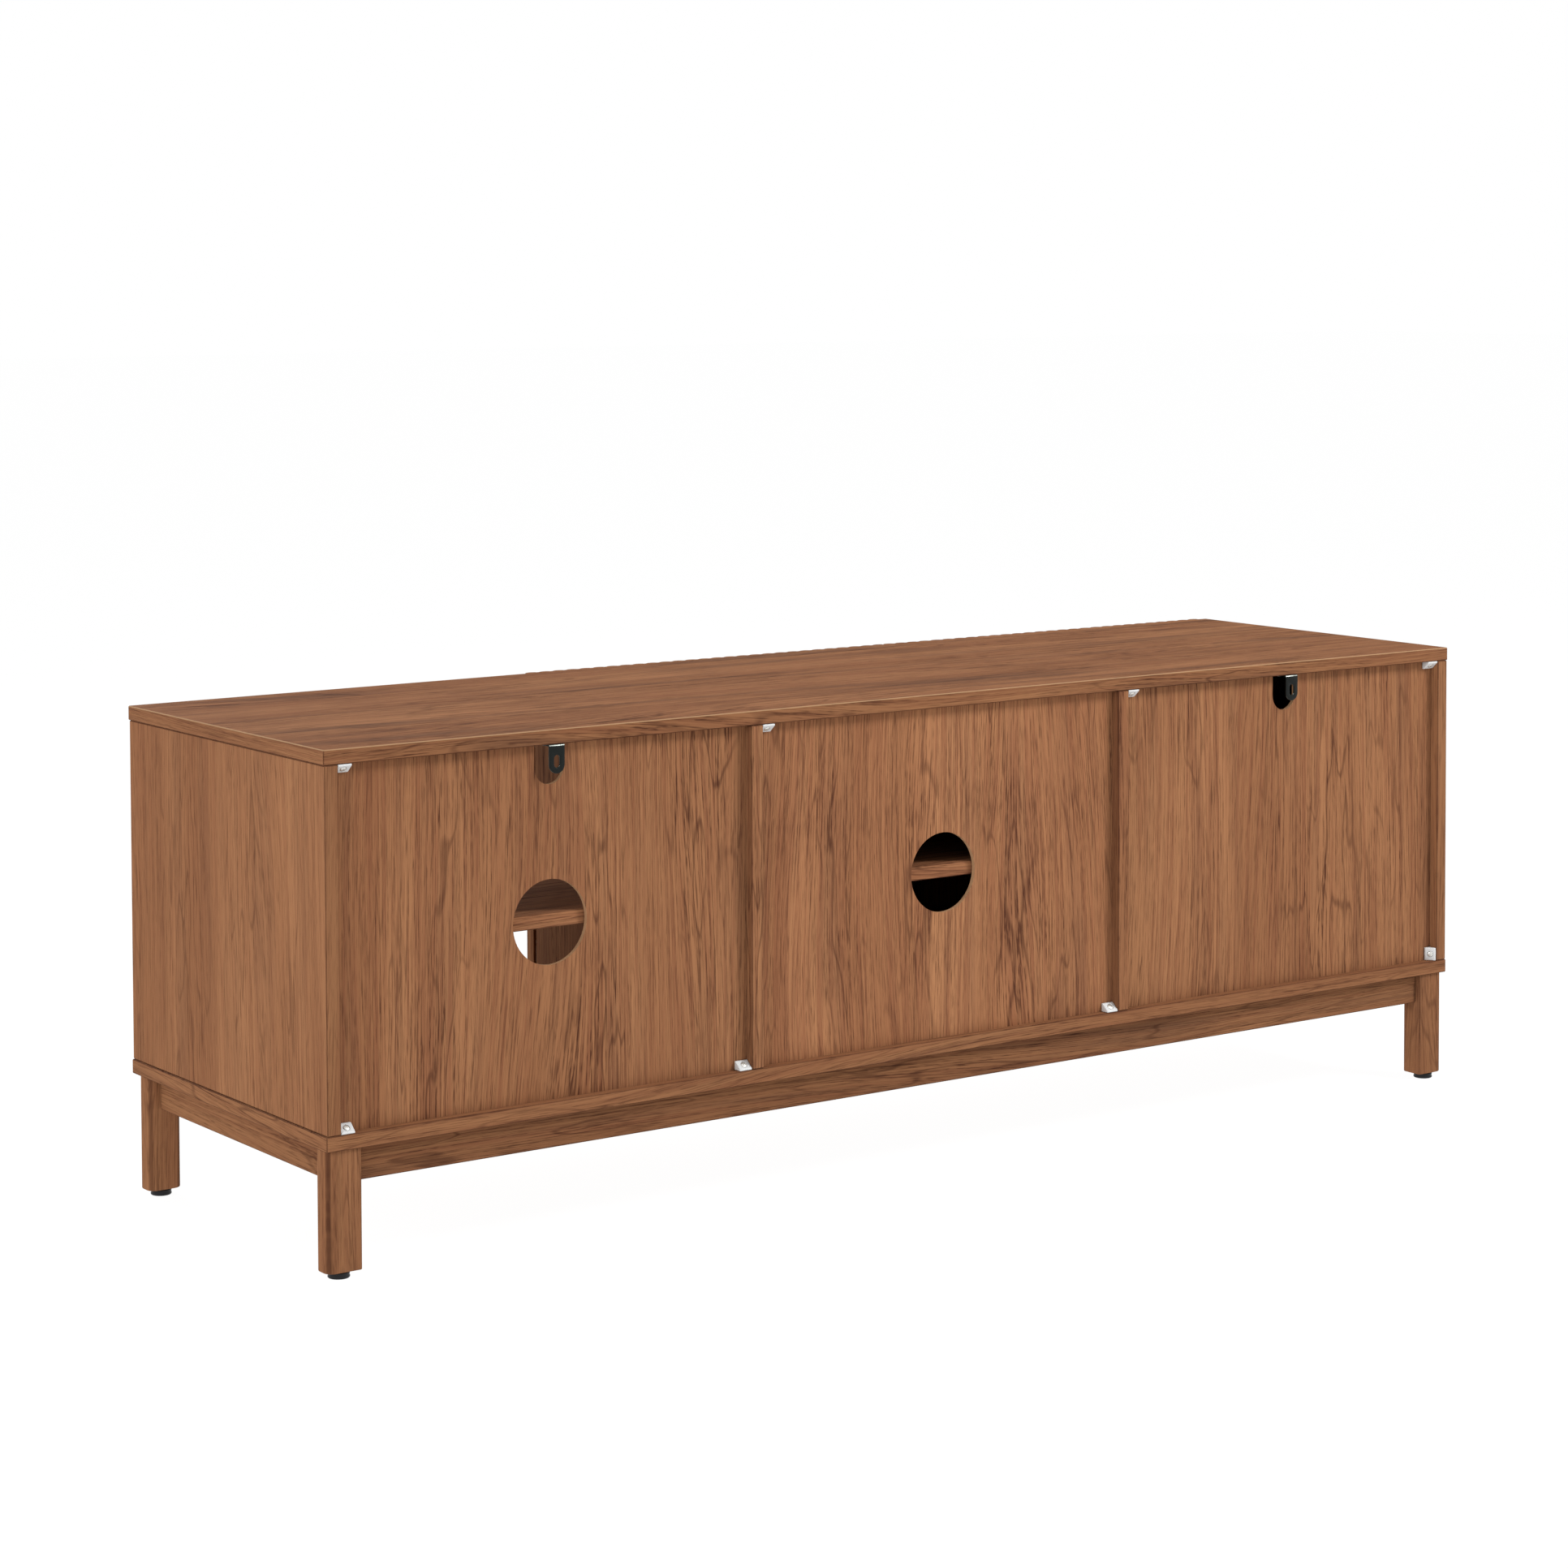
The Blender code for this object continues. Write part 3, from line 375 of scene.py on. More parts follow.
def makeWalnut(name, look, offset, paintedEdgeHighlight=False, thin=False, settings=walnutSettings):
    # the grain runs along look["grain"]; faces square to that take theirs along look["ends"]
    material, n, shader = newMaterial(name)
    coords = n.add("ShaderNodeTexCoord")
    place = n.vector("ADD", coords.outputs["Object"], offset)
    split = n.add("ShaderNodeSeparateXYZ", {0: place})
    normal = n.add("ShaderNodeSeparateXYZ", {0: coords.outputs["Normal"]})
    axes = {"X": 0, "Y": 1, "Z": 2}

    def along(axis):
        others = [i for i in range(3) if i != axes[axis]]
        return n.add("ShaderNodeCombineXYZ", {0: split.outputs[others[0]],
                                              1: split.outputs[others[1]],
                                              2: split.outputs[axes[axis]]}).outputs[0]

    facing = n.math("ABSOLUTE", normal.outputs[axes[look["grain"]]])
    onEnd = n.math("GREATER_THAN", facing, settings["endFrom"])
    chosen = n.add("ShaderNodeMix", data_type="VECTOR")
    n.plug(chosen.inputs["Factor"], onEnd)
    vectors = [s for s in chosen.inputs if s.type == "VECTOR" and s.name in ("A", "B")]
    n.plug(vectors[0], along(look["grain"]))
    n.plug(vectors[1], along(look["ends"]))
    grain = [s for s in chosen.outputs if s.type == "VECTOR"][0]

    def stretched(scale):
        across, lengthwise = scale
        return n.vector("MULTIPLY", grain, (across, across, lengthwise))

    # one slow field runs across the grain; its contours are the growth rings, so what is drawn
    # along it closes into arches where the board was sawn near the heart
    parts = n.add("ShaderNodeSeparateXYZ", {0: grain})
    across = n.math("ADD", parts.outputs[0], parts.outputs[1])
    swing = n.noise(stretched(settings["archScale"]), 1.2, 0.45)
    tremble = n.noise(stretched(settings["trembleScale"]))
    swung = n.math("ADD", across, n.math("MULTIPLY", swing, settings["archReach"]))
    ringField = n.math("ADD", swung, n.math("MULTIPLY", tremble, settings["trembleReach"]))

    def drawn(layer):
        # a noise drawn out along the rings; the second across axis only changes slowly
        count = layer["across"]
        followed = n.add("ShaderNodeCombineXYZ", {
            0: n.math("MULTIPLY", ringField, count),
            1: n.math("MULTIPLY", parts.outputs[1], count * settings["sideDrift"]),
            2: n.math("MULTIPLY", parts.outputs[2], 1.0 / layer["length"])})
        return n.noise(followed.outputs[0], layer["detail"], layer.get("roughness", 0.55))

    def spread(key, least=0.0):
        return n.remap(drawn(settings[key]), *settings[key]["span"], least, 1.0)

    def contour(key):
        width = settings[key]["width"]
        middle = n.math("ABSOLUTE", n.math("SUBTRACT", drawn(settings[key]), 0.5))
        return n.remap(middle, width, width * 0.2)

    def stain(body, layer, amount, colourKey):
        return n.mix(n.math("MULTIPLY", layer, amount), body, colour(settings[colourKey]))

    breaks = spread("breaks", settings["breakLeast"])
    crowd = n.remap(n.noise(stretched(settings["crowdScale"]), 1.0), *settings["crowdSpan"])
    figure = n.math("MULTIPLY", contour("figure"), crowd)
    lines = n.math("MULTIPLY", n.math("MULTIPLY", contour("lines"), breaks),
                   n.remap(crowd, 0.0, 1.0, settings["crowdLeast"], 1.0))
    fineLines = n.math("MULTIPLY", contour("fineLines"), breaks)
    pores = drawn(settings["pores"])

    marks = look["marks"]
    body = n.mix(spread("bands"), colour(settings["middle"]), colour(settings["light"]))
    body = stain(body, spread("streaks"), settings["streaks"]["strength"] * marks, "warm")
    body = stain(body, spread("shades"), look["shade"], "shade")
    body = stain(body, figure, settings["figure"]["strength"] * marks, "line")
    body = stain(body, fineLines, settings["fineLines"]["strength"] * marks, "line")
    body = stain(body, lines, settings["lines"]["strength"] * marks, "line")
    for key, stainKey in (("darkPores", "line"), ("palePores", "light")):
        start, full, amount = settings[key]
        body = n.mix(n.remap(pores, start, full, 0.0, amount), body, colour(settings[stainKey]))

    # eased edges face no single axis: darkened with painted shade as in the seams, and on the top panel
    # the upward ones get a painted highlight
    eased = n.remap(n.steepest(normal), *settings["easedSpan"])
    facingY = n.math("ABSOLUTE", normal.outputs[1])
    boardToneAndShade = look["toneAndShade"]
    if thin:
        # the thin back boards show their raw core where they are cut through
        body = stain(body, n.remap(facingY, *settings["cutSpan"]), settings["rawCore"], "edge")
    else:
        # painted shade: every eased edge is darkened like the shade in the seams between boards
        body = stain(body, eased, settings["seamShade"], "line")
        # edge banding at the front and rear has a tone of its own; on the side panels it is darker as
        # painted shade, and on the partitions it lifts the edges back out of the painted shade on their
        # faces
        banded = n.remap(facingY, *settings["bandedSpan"])
        boardToneAndShade = n.remap(banded, 0.0, 1.0, look["toneAndShade"], look["toneAndShade"] * look["edgingAndShade"])
    # painted highlight: the top panel's upward eased edges are painted pale as if lit from above
    if paintedEdgeHighlight:
        highlightMask = n.math("MULTIPLY", eased, n.remap(normal.outputs[2], *settings["highlightSpan"]))
        body = n.mix(highlightMask, body, colour(settings["edge"]))
    grey = n.add("ShaderNodeCombineColor", {0: boardToneAndShade, 1: boardToneAndShade, 2: boardToneAndShade}).outputs[0]
    n.plug(shader.inputs["Base Color"], n.mix(1.0, body, grey, blend="MULTIPLY"))
    n.plug(shader.inputs["Roughness"], n.remap(lines, 0.0, 1.0, settings["roughness"],
                                               settings["roughness"] + settings["lineRoughness"]))
    n.bump(shader, n.math("SUBTRACT", 1.0, lines), settings["bump"], settings["bumpStrength"])
    shader.inputs["Specular IOR Level"].default_value = settings["sheen"]
    return material


# each kind of board: the way of its grain, the way of it on the ends, its tone (lowered on the
# partitions as painted shade in the recess), how shaded and how marked it is, and how much of its tone
# its front and rear edges have
boardLooks = {
    "top": {"grain": "X", "ends": "Y", "toneAndShade": 0.9, "shade": 0.8, "marks": 0.95,
            "edgingAndShade": 0.93},
    "bottom": {"grain": "X", "ends": "Y", "toneAndShade": 0.92, "shade": 0.45, "marks": 0.8,
               "edgingAndShade": 0.93},
    # side panels: front and rear edges darkened as painted shade
    "side": {"grain": "Z", "ends": "Y", "toneAndShade": 1.0, "shade": 0.22, "marks": 0.6,
             "edgingAndShade": 0.8},
    # partitions: faces darkened as painted shade in the recess, edges lifted back up to a plain tone
    "partition": {"grain": "Z", "ends": "Y", "toneAndShade": 0.78, "shade": 0.3, "marks": 0.9,
                  "edgingAndShade": 1.23},
    "backOuter": {"grain": "Z", "ends": "X", "toneAndShade": 0.98, "shade": 0.3, "marks": 1.0,
                  "edgingAndShade": 1.0},
    "backMiddle": {"grain": "Z", "ends": "X", "toneAndShade": 1.12, "shade": 0.3, "marks": 1.0,
                   "edgingAndShade": 1.0},
    "shelf": {"grain": "X", "ends": "Y", "toneAndShade": 1.15, "shade": 0.4, "marks": 0.9,
              "edgingAndShade": 0.93},
    "longApron": {"grain": "X", "ends": "Y", "toneAndShade": 0.8, "shade": 0.9, "marks": 0.9,
                  "edgingAndShade": 0.93},
    "shortApron": {"grain": "Y", "ends": "X", "toneAndShade": 0.86, "shade": 0.6, "marks": 0.7,
                   "edgingAndShade": 0.93},
}
boards = {
    "top_panel": "top",
    "bottom_panel": "bottom",
    "side_panel_left": "side",
    "side_panel_right": "side",
    "partition_left": "partition",
    "partition_right": "partition",
    "back_panel_left": "backOuter",
    "back_panel_middle": "backMiddle",
    "back_panel_right": "backOuter",
    "shelf_left": "shelf",
    "shelf_middle": "shelf",
    "shelf_right": "shelf",
    "apron_front": "longApron",
    "apron_rear": "longApron",
    "apron_left": "shortApron",
    "apron_right": "shortApron",
}


def paint(node, material):
    obj = nodes[node]
    obj.data.materials.clear()
    obj.data.materials.append(material)


def paintBoards(kinds, looks):
    for i, (node, kind) in enumerate(kinds.items()):
        offset = (3.1 + 1.37 * i, 7.9 - 0.83 * i, 2.3 + 0.71 * i)      # each board is another cut
        name = "board" + node.title().replace("_", "")
        # only the top panel gets the painted highlight on its upward eased edges
        paint(node, makeWalnut(name, looks[kind], offset, node == "top_panel",
                               node.startswith("back_panel")))


paintBoards(boards, boardLooks)
print("boards finished")


# metals and plastics

metalSettings = {"cloudScale": 90, "clouding": 0.12, "cloudShade": 0.55, "roughnessSpread": 0.14,
                 "bump": 0.00003, "bumpStrength": 0.4}


def makeMetal(name, base, roughness, grainScale, settings=metalSettings):
    material, n, shader = newMaterial(name)
    coords = n.add("ShaderNodeTexCoord").outputs["Object"]
    cloudy = n.evenNoise(coords, settings["cloudScale"], 3.0)
    fine = n.noise(n.vector("MULTIPLY", coords, grainScale))
    clouds = n.remap(cloudy, 0.3, 0.75, 0.0, settings["clouding"])
    dull = [c * settings["cloudShade"] for c in base]
    n.plug(shader.inputs["Base Color"], n.mix(clouds, colour(base), colour(dull)))
    n.plug(shader.inputs["Roughness"], n.remap(fine, 0.3, 0.7, roughness,
                                               roughness + settings["roughnessSpread"]))
    shader.inputs["Metallic"].default_value = 1.0
    n.bump(shader, fine, settings["bump"], settings["bumpStrength"])
    return material


plasticSettings = {"grainScale": 2600, "cloudScale": 160, "clouding": 0.10, "cloudShade": 0.7,
                   "smoother": 0.05, "rougher": 0.08, "bump": 0.00002, "bumpStrength": 0.35}


def makePlastic(name, base, roughness, sheen=0.5, settings=plasticSettings):
    material, n, shader = newMaterial(name)
    coords = n.add("ShaderNodeTexCoord").outputs["Object"]
    texture = n.evenNoise(coords, settings["grainScale"], 2.0)
    cloudy = n.evenNoise(coords, settings["cloudScale"], 2.0)
    clouds = n.remap(cloudy, 0.3, 0.7, 0.0, settings["clouding"])
    dull = [c * settings["cloudShade"] for c in base]
    n.plug(shader.inputs["Base Color"], n.mix(clouds, colour(base), colour(dull)))
    n.plug(shader.inputs["Roughness"], n.remap(texture, 0.3, 0.7, roughness - settings["smoother"],
                                               roughness + settings["rougher"]))
    shader.inputs["Specular IOR Level"].default_value = sheen
    n.bump(shader, texture, settings["bump"], settings["bumpStrength"])
    return material


bracketFinish = {"black": (0.011, 0.013, 0.012), "bright": (0.55, 0.60, 0.55),
                 "rim": (0.16, 0.17, 0.16), "rimHighlightStrength": 0.8, "rimHighlightSpan": (0.95, 0.82),
                 "bendHighlightIn": (0.35, 0.50), "bendHighlightOut": (0.85, 0.73), "roughness": 0.34,
                 "roughnessSpread": 0.15, "metallic": 0.7, "sheen": 0.3, "grainScale": 700,
                 "bump": 0.00002, "bumpStrength": 0.35}


def makeBracketSteel(name, settings):
    # black-coated steel, with a painted highlight along the outside of the bend where it faces up, and
    # a fainter painted highlight round its rim
    material, n, shader = newMaterial(name)
    coords = n.add("ShaderNodeTexCoord")
    normal = n.add("ShaderNodeSeparateXYZ", {0: coords.outputs["Normal"]})
    fine = n.evenNoise(coords.outputs["Object"], settings["grainScale"], 3.0)
    up = normal.outputs[2]
    # painted highlight on the upward-facing outside of the bend
    bend = n.math("MULTIPLY", n.remap(up, *settings["bendHighlightIn"]), n.remap(up, *settings["bendHighlightOut"]))
    bendHighlight = n.math("MULTIPLY", bend, n.remap(fine, 0.30, 0.50, 0.55, 1.0))
    # painted highlight: the rim's eased edges are lighter than the coating
    rim = n.math("MULTIPLY", n.remap(n.steepest(normal), *settings["rimHighlightSpan"]),
                 settings["rimHighlightStrength"])
    coatedWithRimHighlight = n.mix(rim, colour(settings["black"]), colour(settings["rim"]))
    n.plug(shader.inputs["Base Color"], n.mix(bendHighlight, coatedWithRimHighlight, colour(settings["bright"])))
    n.plug(shader.inputs["Roughness"], n.remap(fine, 0.3, 0.7, settings["roughness"],
                                               settings["roughness"] + settings["roughnessSpread"]))
    shader.inputs["Metallic"].default_value = settings["metallic"]
    shader.inputs["Specular IOR Level"].default_value = settings["sheen"]
    n.bump(shader, fine, settings["bump"], settings["bumpStrength"])
    return material


nickel = makeMetal("hingeNickel", (0.62, 0.61, 0.58), 0.24, (1500, 1500, 120))
zinc = makeMetal("screwZinc", (0.80, 0.79, 0.75), 0.40, (1800, 1800, 1800))
blackSteel = makeBracketSteel("bracketBlackSteel", bracketFinish)
clipGrey = makePlastic("clipPaleGrey", (0.66, 0.67, 0.67), 0.42)
latchGrey = makePlastic("latchPaleGrey", (0.60, 0.60, 0.59), 0.45)
footBlack = makePlastic("footBlack", (0.010, 0.010, 0.011), 0.42, sheen=0.2)


def paintHardware():
    finishes = {"hinge_": nickel, "latch_": latchGrey, "leg_bolt": zinc}
    for node in nodes:
        for start, finish in finishes.items():
            if node.startswith(start):
                paint(node, finish)


paintHardware()


# legs, with round corners and a small chamfer at the foot

legSettings = {"cornerRadius": 0.0095, "cornerSteps": 10, "innerRadius": 0.0012, "innerSteps": 3,
               "chamfer": 0.0012, "chamferKnee": (0.35, 0.3)}
legLook = {"grain": "Z", "ends": "X", "toneAndShade": 0.93, "shade": 0.4, "marks": 0.65, "edgingAndShade": 0.93}


def legOutline(low, high, outerSign, roundInner, settings):
    # the outer corners are rounded; the inner ones too on the front legs
    middleX = (low[0] + high[0]) / 2
    points = []
    for x, y, start in ((high[0], high[1], 0), (low[0], high[1], 90), (low[0], low[1], 180),
                        (high[0], low[1], 270)):
        wayX = 1 if x > middleX else -1
        wayY = 1 if y == high[1] else -1
        rounded = wayX == outerSign or roundInner
        radius = settings["cornerRadius"] if rounded else settings["innerRadius"]
        steps = settings["cornerSteps"] if rounded else settings["innerSteps"]
        points += arc((x - wayX * radius, y - wayY * radius), radius, start, 90, steps)
    return points


def makeLeg(end, side, settings, material):
    node = f"leg_{end}_{side}"
    low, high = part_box(node)
    outerSign = 1 if side == "right" else -1
    outline = legOutline(low, high, outerSign, end == "front", settings)
    centre = Vector(((low[0] + high[0]) / 2, (low[1] + high[1]) / 2))
    chamfer = settings["chamfer"]
    kneeHeight, kneeInset = settings["chamferKnee"]
    bm = bmesh.new()
    rings = []
    for z, inset in ((low[2], chamfer), (low[2] + chamfer * kneeHeight, chamfer * kneeInset),
                     (low[2] + chamfer, 0), (high[2], 0)):
        ring = []
        for x, y in outline:
            offset = Vector((x, y)) - centre
            scaleX = 1 - inset / (high[0] - centre.x)
            scaleY = 1 - inset / (high[1] - centre.y)
            ring.append(bm.verts.new((centre.x + offset.x * scaleX, centre.y + offset.y * scaleY, z)))
        rings.append(ring)
    skinInto(bm, rings)
    leg = smooth(bmToObject(f"leg_{end}_{side}_turned", bm, material), 30)
    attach(leg, "cabinet")
    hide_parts(node)


# levelling feet: a moulded pad with a rolled lip on a threaded stud

footSettings = {"sides": 48, "lip": 0.0016, "waist": 0.0006, "legGap": 0.0003,
                "rim": ((0.0, 0.0012), (0.0005, 0.0003), (0.0016, 0.0)),     # inset, drop
                "studRadius": 0.0037, "threadPitch": 0.0013, "threadDepth": 0.0005,
                "studTip": 0.0006}


def makeFoot(end, side, settings, material):
    node = f"foot_{end}_{side}"
    low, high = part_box(node)
    radius = (high[0] - low[0]) / 2
    centre = ((low[0] + high[0]) / 2, (low[1] + high[1]) / 2)
    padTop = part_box(f"leg_{end}_{side}")[0][2] - settings["legGap"]
    lip = settings["lip"]
    stud = settings["studRadius"]
    pitch = settings["threadPitch"]
    profile = [(radius - lip, low[2])]
    profile += [(radius - lip + lip * math.sin(a), low[2] + lip * (1 - math.cos(a)))
                for a in (math.radians(d) for d in (30, 60, 90))]
    profile.append((radius - settings["waist"], (low[2] + padTop) / 2))
    profile += [(radius - inset, padTop - drop) for inset, drop in settings["rim"]]
    height = padTop
    profile.append((stud, height))
    while height + pitch < high[2]:
        profile.append((stud - settings["threadDepth"], height + pitch * 0.5))
        height += pitch
        profile.append((stud, height))
    profile.append((stud - settings["studTip"], high[2]))
    bm = bmesh.new()
    revolveInto(bm, profile, settings["sides"], Matrix.Translation((*centre, 0)))
    foot = smooth(bmToObject(f"foot_{end}_{side}_moulded", bm, material), 40)
    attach(foot, f"foot_{end}_{side}")
    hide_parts(node)


def makeLegsAndFeet():
    for i, (end, side) in enumerate((e, s) for e in ("front", "rear") for s in ("left", "right")):
        walnut = makeWalnut(f"legWalnut{i}", legLook, (12.3 + i, 4.7 - 2 * i, 9.1 + 0.3 * i))
        makeLeg(end, side, legSettings, walnut)
        makeFoot(end, side, footSettings, footBlack)


makeLegsAndFeet()
print("legs and feet made")


# reeded doors: a board with a row of half-round ribs on its face

doorSettings = {"ribCount": 28, "groove": 0.0045, "ribHeight": 0.003, "ribSteps": 12,
                "ribSunk": 0.0004, "edgeRound": 0.0008, "cupRadius": 0.0178, "cupDepth": 0.0123,
                "cupFromEdge": 0.0215, "cupSides": 48, "drillStart": 0.004}
doorLook = {"grain": "Z", "ends": "X", "toneAndShade": 1.0, "shade": 0.4, "marks": 1.0, "edgingAndShade": 0.93}
doorSides = {"left": {"hingeAtLow": True}, "right": {"hingeAtLow": False}}


def ribProfile(pitch, settings):
    width = pitch - settings["groove"]
    height = settings["ribHeight"]
    radius = (width ** 2 / 4 + height ** 2) / (2 * height)
    half = math.asin(width / 2 / radius)
    points = []
    for i in range(settings["ribSteps"] + 1):
        angle = -half + 2 * half * i / settings["ribSteps"]
        points.append((radius * math.sin(angle), height - radius * (1 - math.cos(angle))))
    return points


def makeRibTemplate(pitch, length, settings):
    outline = [(x, -out) for x, out in ribProfile(pitch, settings)]
    sunk = settings["ribSunk"]
    outline = [(outline[0][0], sunk)] + outline + [(outline[-1][0], sunk)]
    bm = bmesh.new()
    skinInto(bm, [[bm.verts.new((x, y, z)) for x, y in outline] for z in (0, length)])
    return bmToObject("ribTemplate", bm)


def ribRowTree(material):
    # a row of ribs: the template on the points of a line along X
    tree = bpy.data.node_groups.new("ribRow", "GeometryNodeTree")
    tree.interface.new_socket("Board", in_out="INPUT", socket_type="NodeSocketGeometry")
    tree.interface.new_socket("Rib", in_out="INPUT", socket_type="NodeSocketObject")
    tree.interface.new_socket("Count", in_out="INPUT", socket_type="NodeSocketInt")
    tree.interface.new_socket("Pitch", in_out="INPUT", socket_type="NodeSocketFloat")
    tree.interface.new_socket("First", in_out="INPUT", socket_type="NodeSocketVector")
    tree.interface.new_socket("Geometry", in_out="OUTPUT", socket_type="NodeSocketGeometry")
    n = Nodes(tree)
    inputs = n.add("NodeGroupInput").outputs
    step = n.add("ShaderNodeCombineXYZ", {0: inputs["Pitch"], 1: 0.0, 2: 0.0}).outputs[0]
    row = n.add("GeometryNodeMeshLine", {"Count": inputs["Count"], "Start Location": inputs["First"],
                                         "Offset": step}, mode="OFFSET").outputs[0]
    rib = n.add("GeometryNodeObjectInfo", {"Object": inputs["Rib"]}).outputs["Geometry"]
    ribs = n.add("GeometryNodeInstanceOnPoints", {"Points": row, "Instance": rib}).outputs[0]
    joined = n.add("GeometryNodeJoinGeometry", {"Geometry": ribs})
    tree.links.new(inputs["Board"], joined.inputs[0])
    real = n.add("GeometryNodeRealizeInstances", {"Geometry": joined.outputs[0]}).outputs[0]
    finish = n.add("GeometryNodeSetMaterial", {"Geometry": real, "Material": material}).outputs[0]
    n.add("NodeGroupOutput", {0: finish})
    return tree


def setInputs(modifier, values):
    names = {item.name: item.identifier for item in modifier.node_group.interface.items_tree
             if item.item_type == "SOCKET" and item.in_out == "INPUT"}
    for name, value in values.items():
        modifier[names[name]] = value


def makeDoor(side, facts, settings, material):
    node = f"door_{side}"
    low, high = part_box(node)
    pitch = (high[0] - low[0] + settings["groove"]) / settings["ribCount"]
    length = high[2] - low[2]
    face = low[1] + settings["ribHeight"]
    bm = bmesh.new()
    boxInto(bm, (low[0], face, low[2]), (high[0], high[1], high[2]))
    slab = bmToObject(f"door_{side}_reeded", bm, material)
    bevel(slab, settings["edgeRound"], 2)
    hinge = low[0] if facts["hingeAtLow"] else high[0]
    way = 1 if facts["hingeAtLow"] else -1
    borer = bmesh.new()
    for level in ("lower", "upper"):
        cupLow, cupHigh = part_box(f"hinge_cup_{side}_{level}")
        centre = (hinge + way * settings["cupFromEdge"], high[1], (cupLow[2] + cupHigh[2]) / 2)
        place = Matrix.Translation(centre) @ Matrix.Rotation(math.radians(90), 4, "X")
        bore = [(settings["cupRadius"], -settings["drillStart"]),
                (settings["cupRadius"], settings["cupDepth"])]
        revolveInto(borer, bore, settings["cupSides"], place)
    borerObject = bmToObject(f"borer_{side}", borer)
    cut(slab, borerObject)
    rib = makeRibTemplate(pitch, length, settings)
    rows = slab.modifiers.new("ribs", "NODES")
    rows.node_group = ribRowTree(material)
    setInputs(rows, {"Rib": rib, "Count": settings["ribCount"], "Pitch": pitch,
                     "First": (low[0] + (pitch - settings["groove"]) / 2, face, low[2])})
    door = bakeModifiers(slab)
    for helper in (rib, borerObject):
        bpy.data.objects.remove(helper, do_unlink=True)
    smooth(door, 35)
    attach(door, f"door_{side}")
    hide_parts(node)


def makeDoors():
    for i, (side, facts) in enumerate(doorSides.items()):
        walnut = makeWalnut(f"doorWalnut{i}", doorLook, (21.7 + 3.3 * i, 14.1, 5.2 - i))
        makeDoor(side, facts, doorSettings, walnut)


makeDoors()
print("doors made")


# screws, all from one template with a cross recess

screwSettings = {"headRadius": 0.0034, "domeHeight": 0.0013, "rimShare": 0.25, "sunk": 0.0004,
                 "domeSteps": (20, 40, 60, 78), "recess": 0.0011, "slotWidth": 0.0010,
                 "slotLength": 0.0040, "slotRise": 0.001, "sides": 24}


def makeScrewTemplate(settings):
    radius = settings["headRadius"]
    dome = settings["domeHeight"]
    rim = settings["rimShare"]
    turns = [math.radians(degrees) for degrees in settings["domeSteps"]]
    profile = [(radius, -settings["sunk"]), (radius, dome * rim)]
    profile += [(radius * math.cos(t), dome * (rim + (1 - rim) * math.sin(t))) for t in turns]
    bm = bmesh.new()
    revolveInto(bm, profile, settings["sides"], Matrix.Identity(4))
    head = bmToObject("screwTemplate", bm)
    cross = bmesh.new()
    half = settings["slotLength"] / 2
    for turn in (0, 90):
        slot = bmesh.new()
        boxInto(slot, (-half, -settings["slotWidth"] / 2, dome - settings["recess"]),
                (half, settings["slotWidth"] / 2, dome + settings["slotRise"]))
        slot.transform(Matrix.Rotation(math.radians(turn), 4, "Z"))
        mesh = bpy.data.meshes.new("slot")
        slot.to_mesh(mesh)
        slot.free()
        cross.from_mesh(mesh)
    tool = bmToObject("crossTool", cross)
    cut(head, tool).use_self = True      # the two slots overlap
    template = bakeModifiers(head)
    bpy.data.objects.remove(tool, do_unlink=True)
    return smooth(template, 30)


def screwTree(material):
    tree = bpy.data.node_groups.new("screwSet", "GeometryNodeTree")
    tree.interface.new_socket("Places", in_out="INPUT", socket_type="NodeSocketGeometry")
    tree.interface.new_socket("Screw", in_out="INPUT", socket_type="NodeSocketObject")
    tree.interface.new_socket("Turn Seed", in_out="INPUT", socket_type="NodeSocketInt")
    tree.interface.new_socket("Geometry", in_out="OUTPUT", socket_type="NodeSocketGeometry")
    n = Nodes(tree)
    inputs = n.add("NodeGroupInput").outputs
    facing = n.add("GeometryNodeInputNamedAttribute", {"Name": "facing"},
                   data_type="FLOAT_VECTOR").outputs[0]
    turn = n.add("FunctionNodeAlignRotationToVector", {"Vector": facing}, axis="Z").outputs[0]
    spin = n.add("FunctionNodeRandomValue", data_type="FLOAT")
    spin.inputs[2].default_value = 0.0         # least
    spin.inputs[3].default_value = math.pi     # most
    tree.links.new(inputs["Turn Seed"], spin.inputs["Seed"])
    twist = n.add("ShaderNodeCombineXYZ", {0: 0.0, 1: 0.0}).outputs[0]
    tree.links.new(spin.outputs[1], twist.node.inputs[2])
    twisted = n.add("FunctionNodeRotateRotation", {"Rotation": turn, "Rotate By": twist},
                    rotation_space="LOCAL").outputs[0]
    screw = n.add("GeometryNodeObjectInfo", {"Object": inputs["Screw"]}).outputs["Geometry"]
    placed = n.add("GeometryNodeInstanceOnPoints", {"Points": inputs["Places"], "Instance": screw,
                                                    "Rotation": twisted}).outputs[0]
    real = n.add("GeometryNodeRealizeInstances", {"Geometry": placed}).outputs[0]
    finish = n.add("GeometryNodeSetMaterial", {"Geometry": real, "Material": material}).outputs[0]
    n.add("NodeGroupOutput", {0: finish})
    return tree


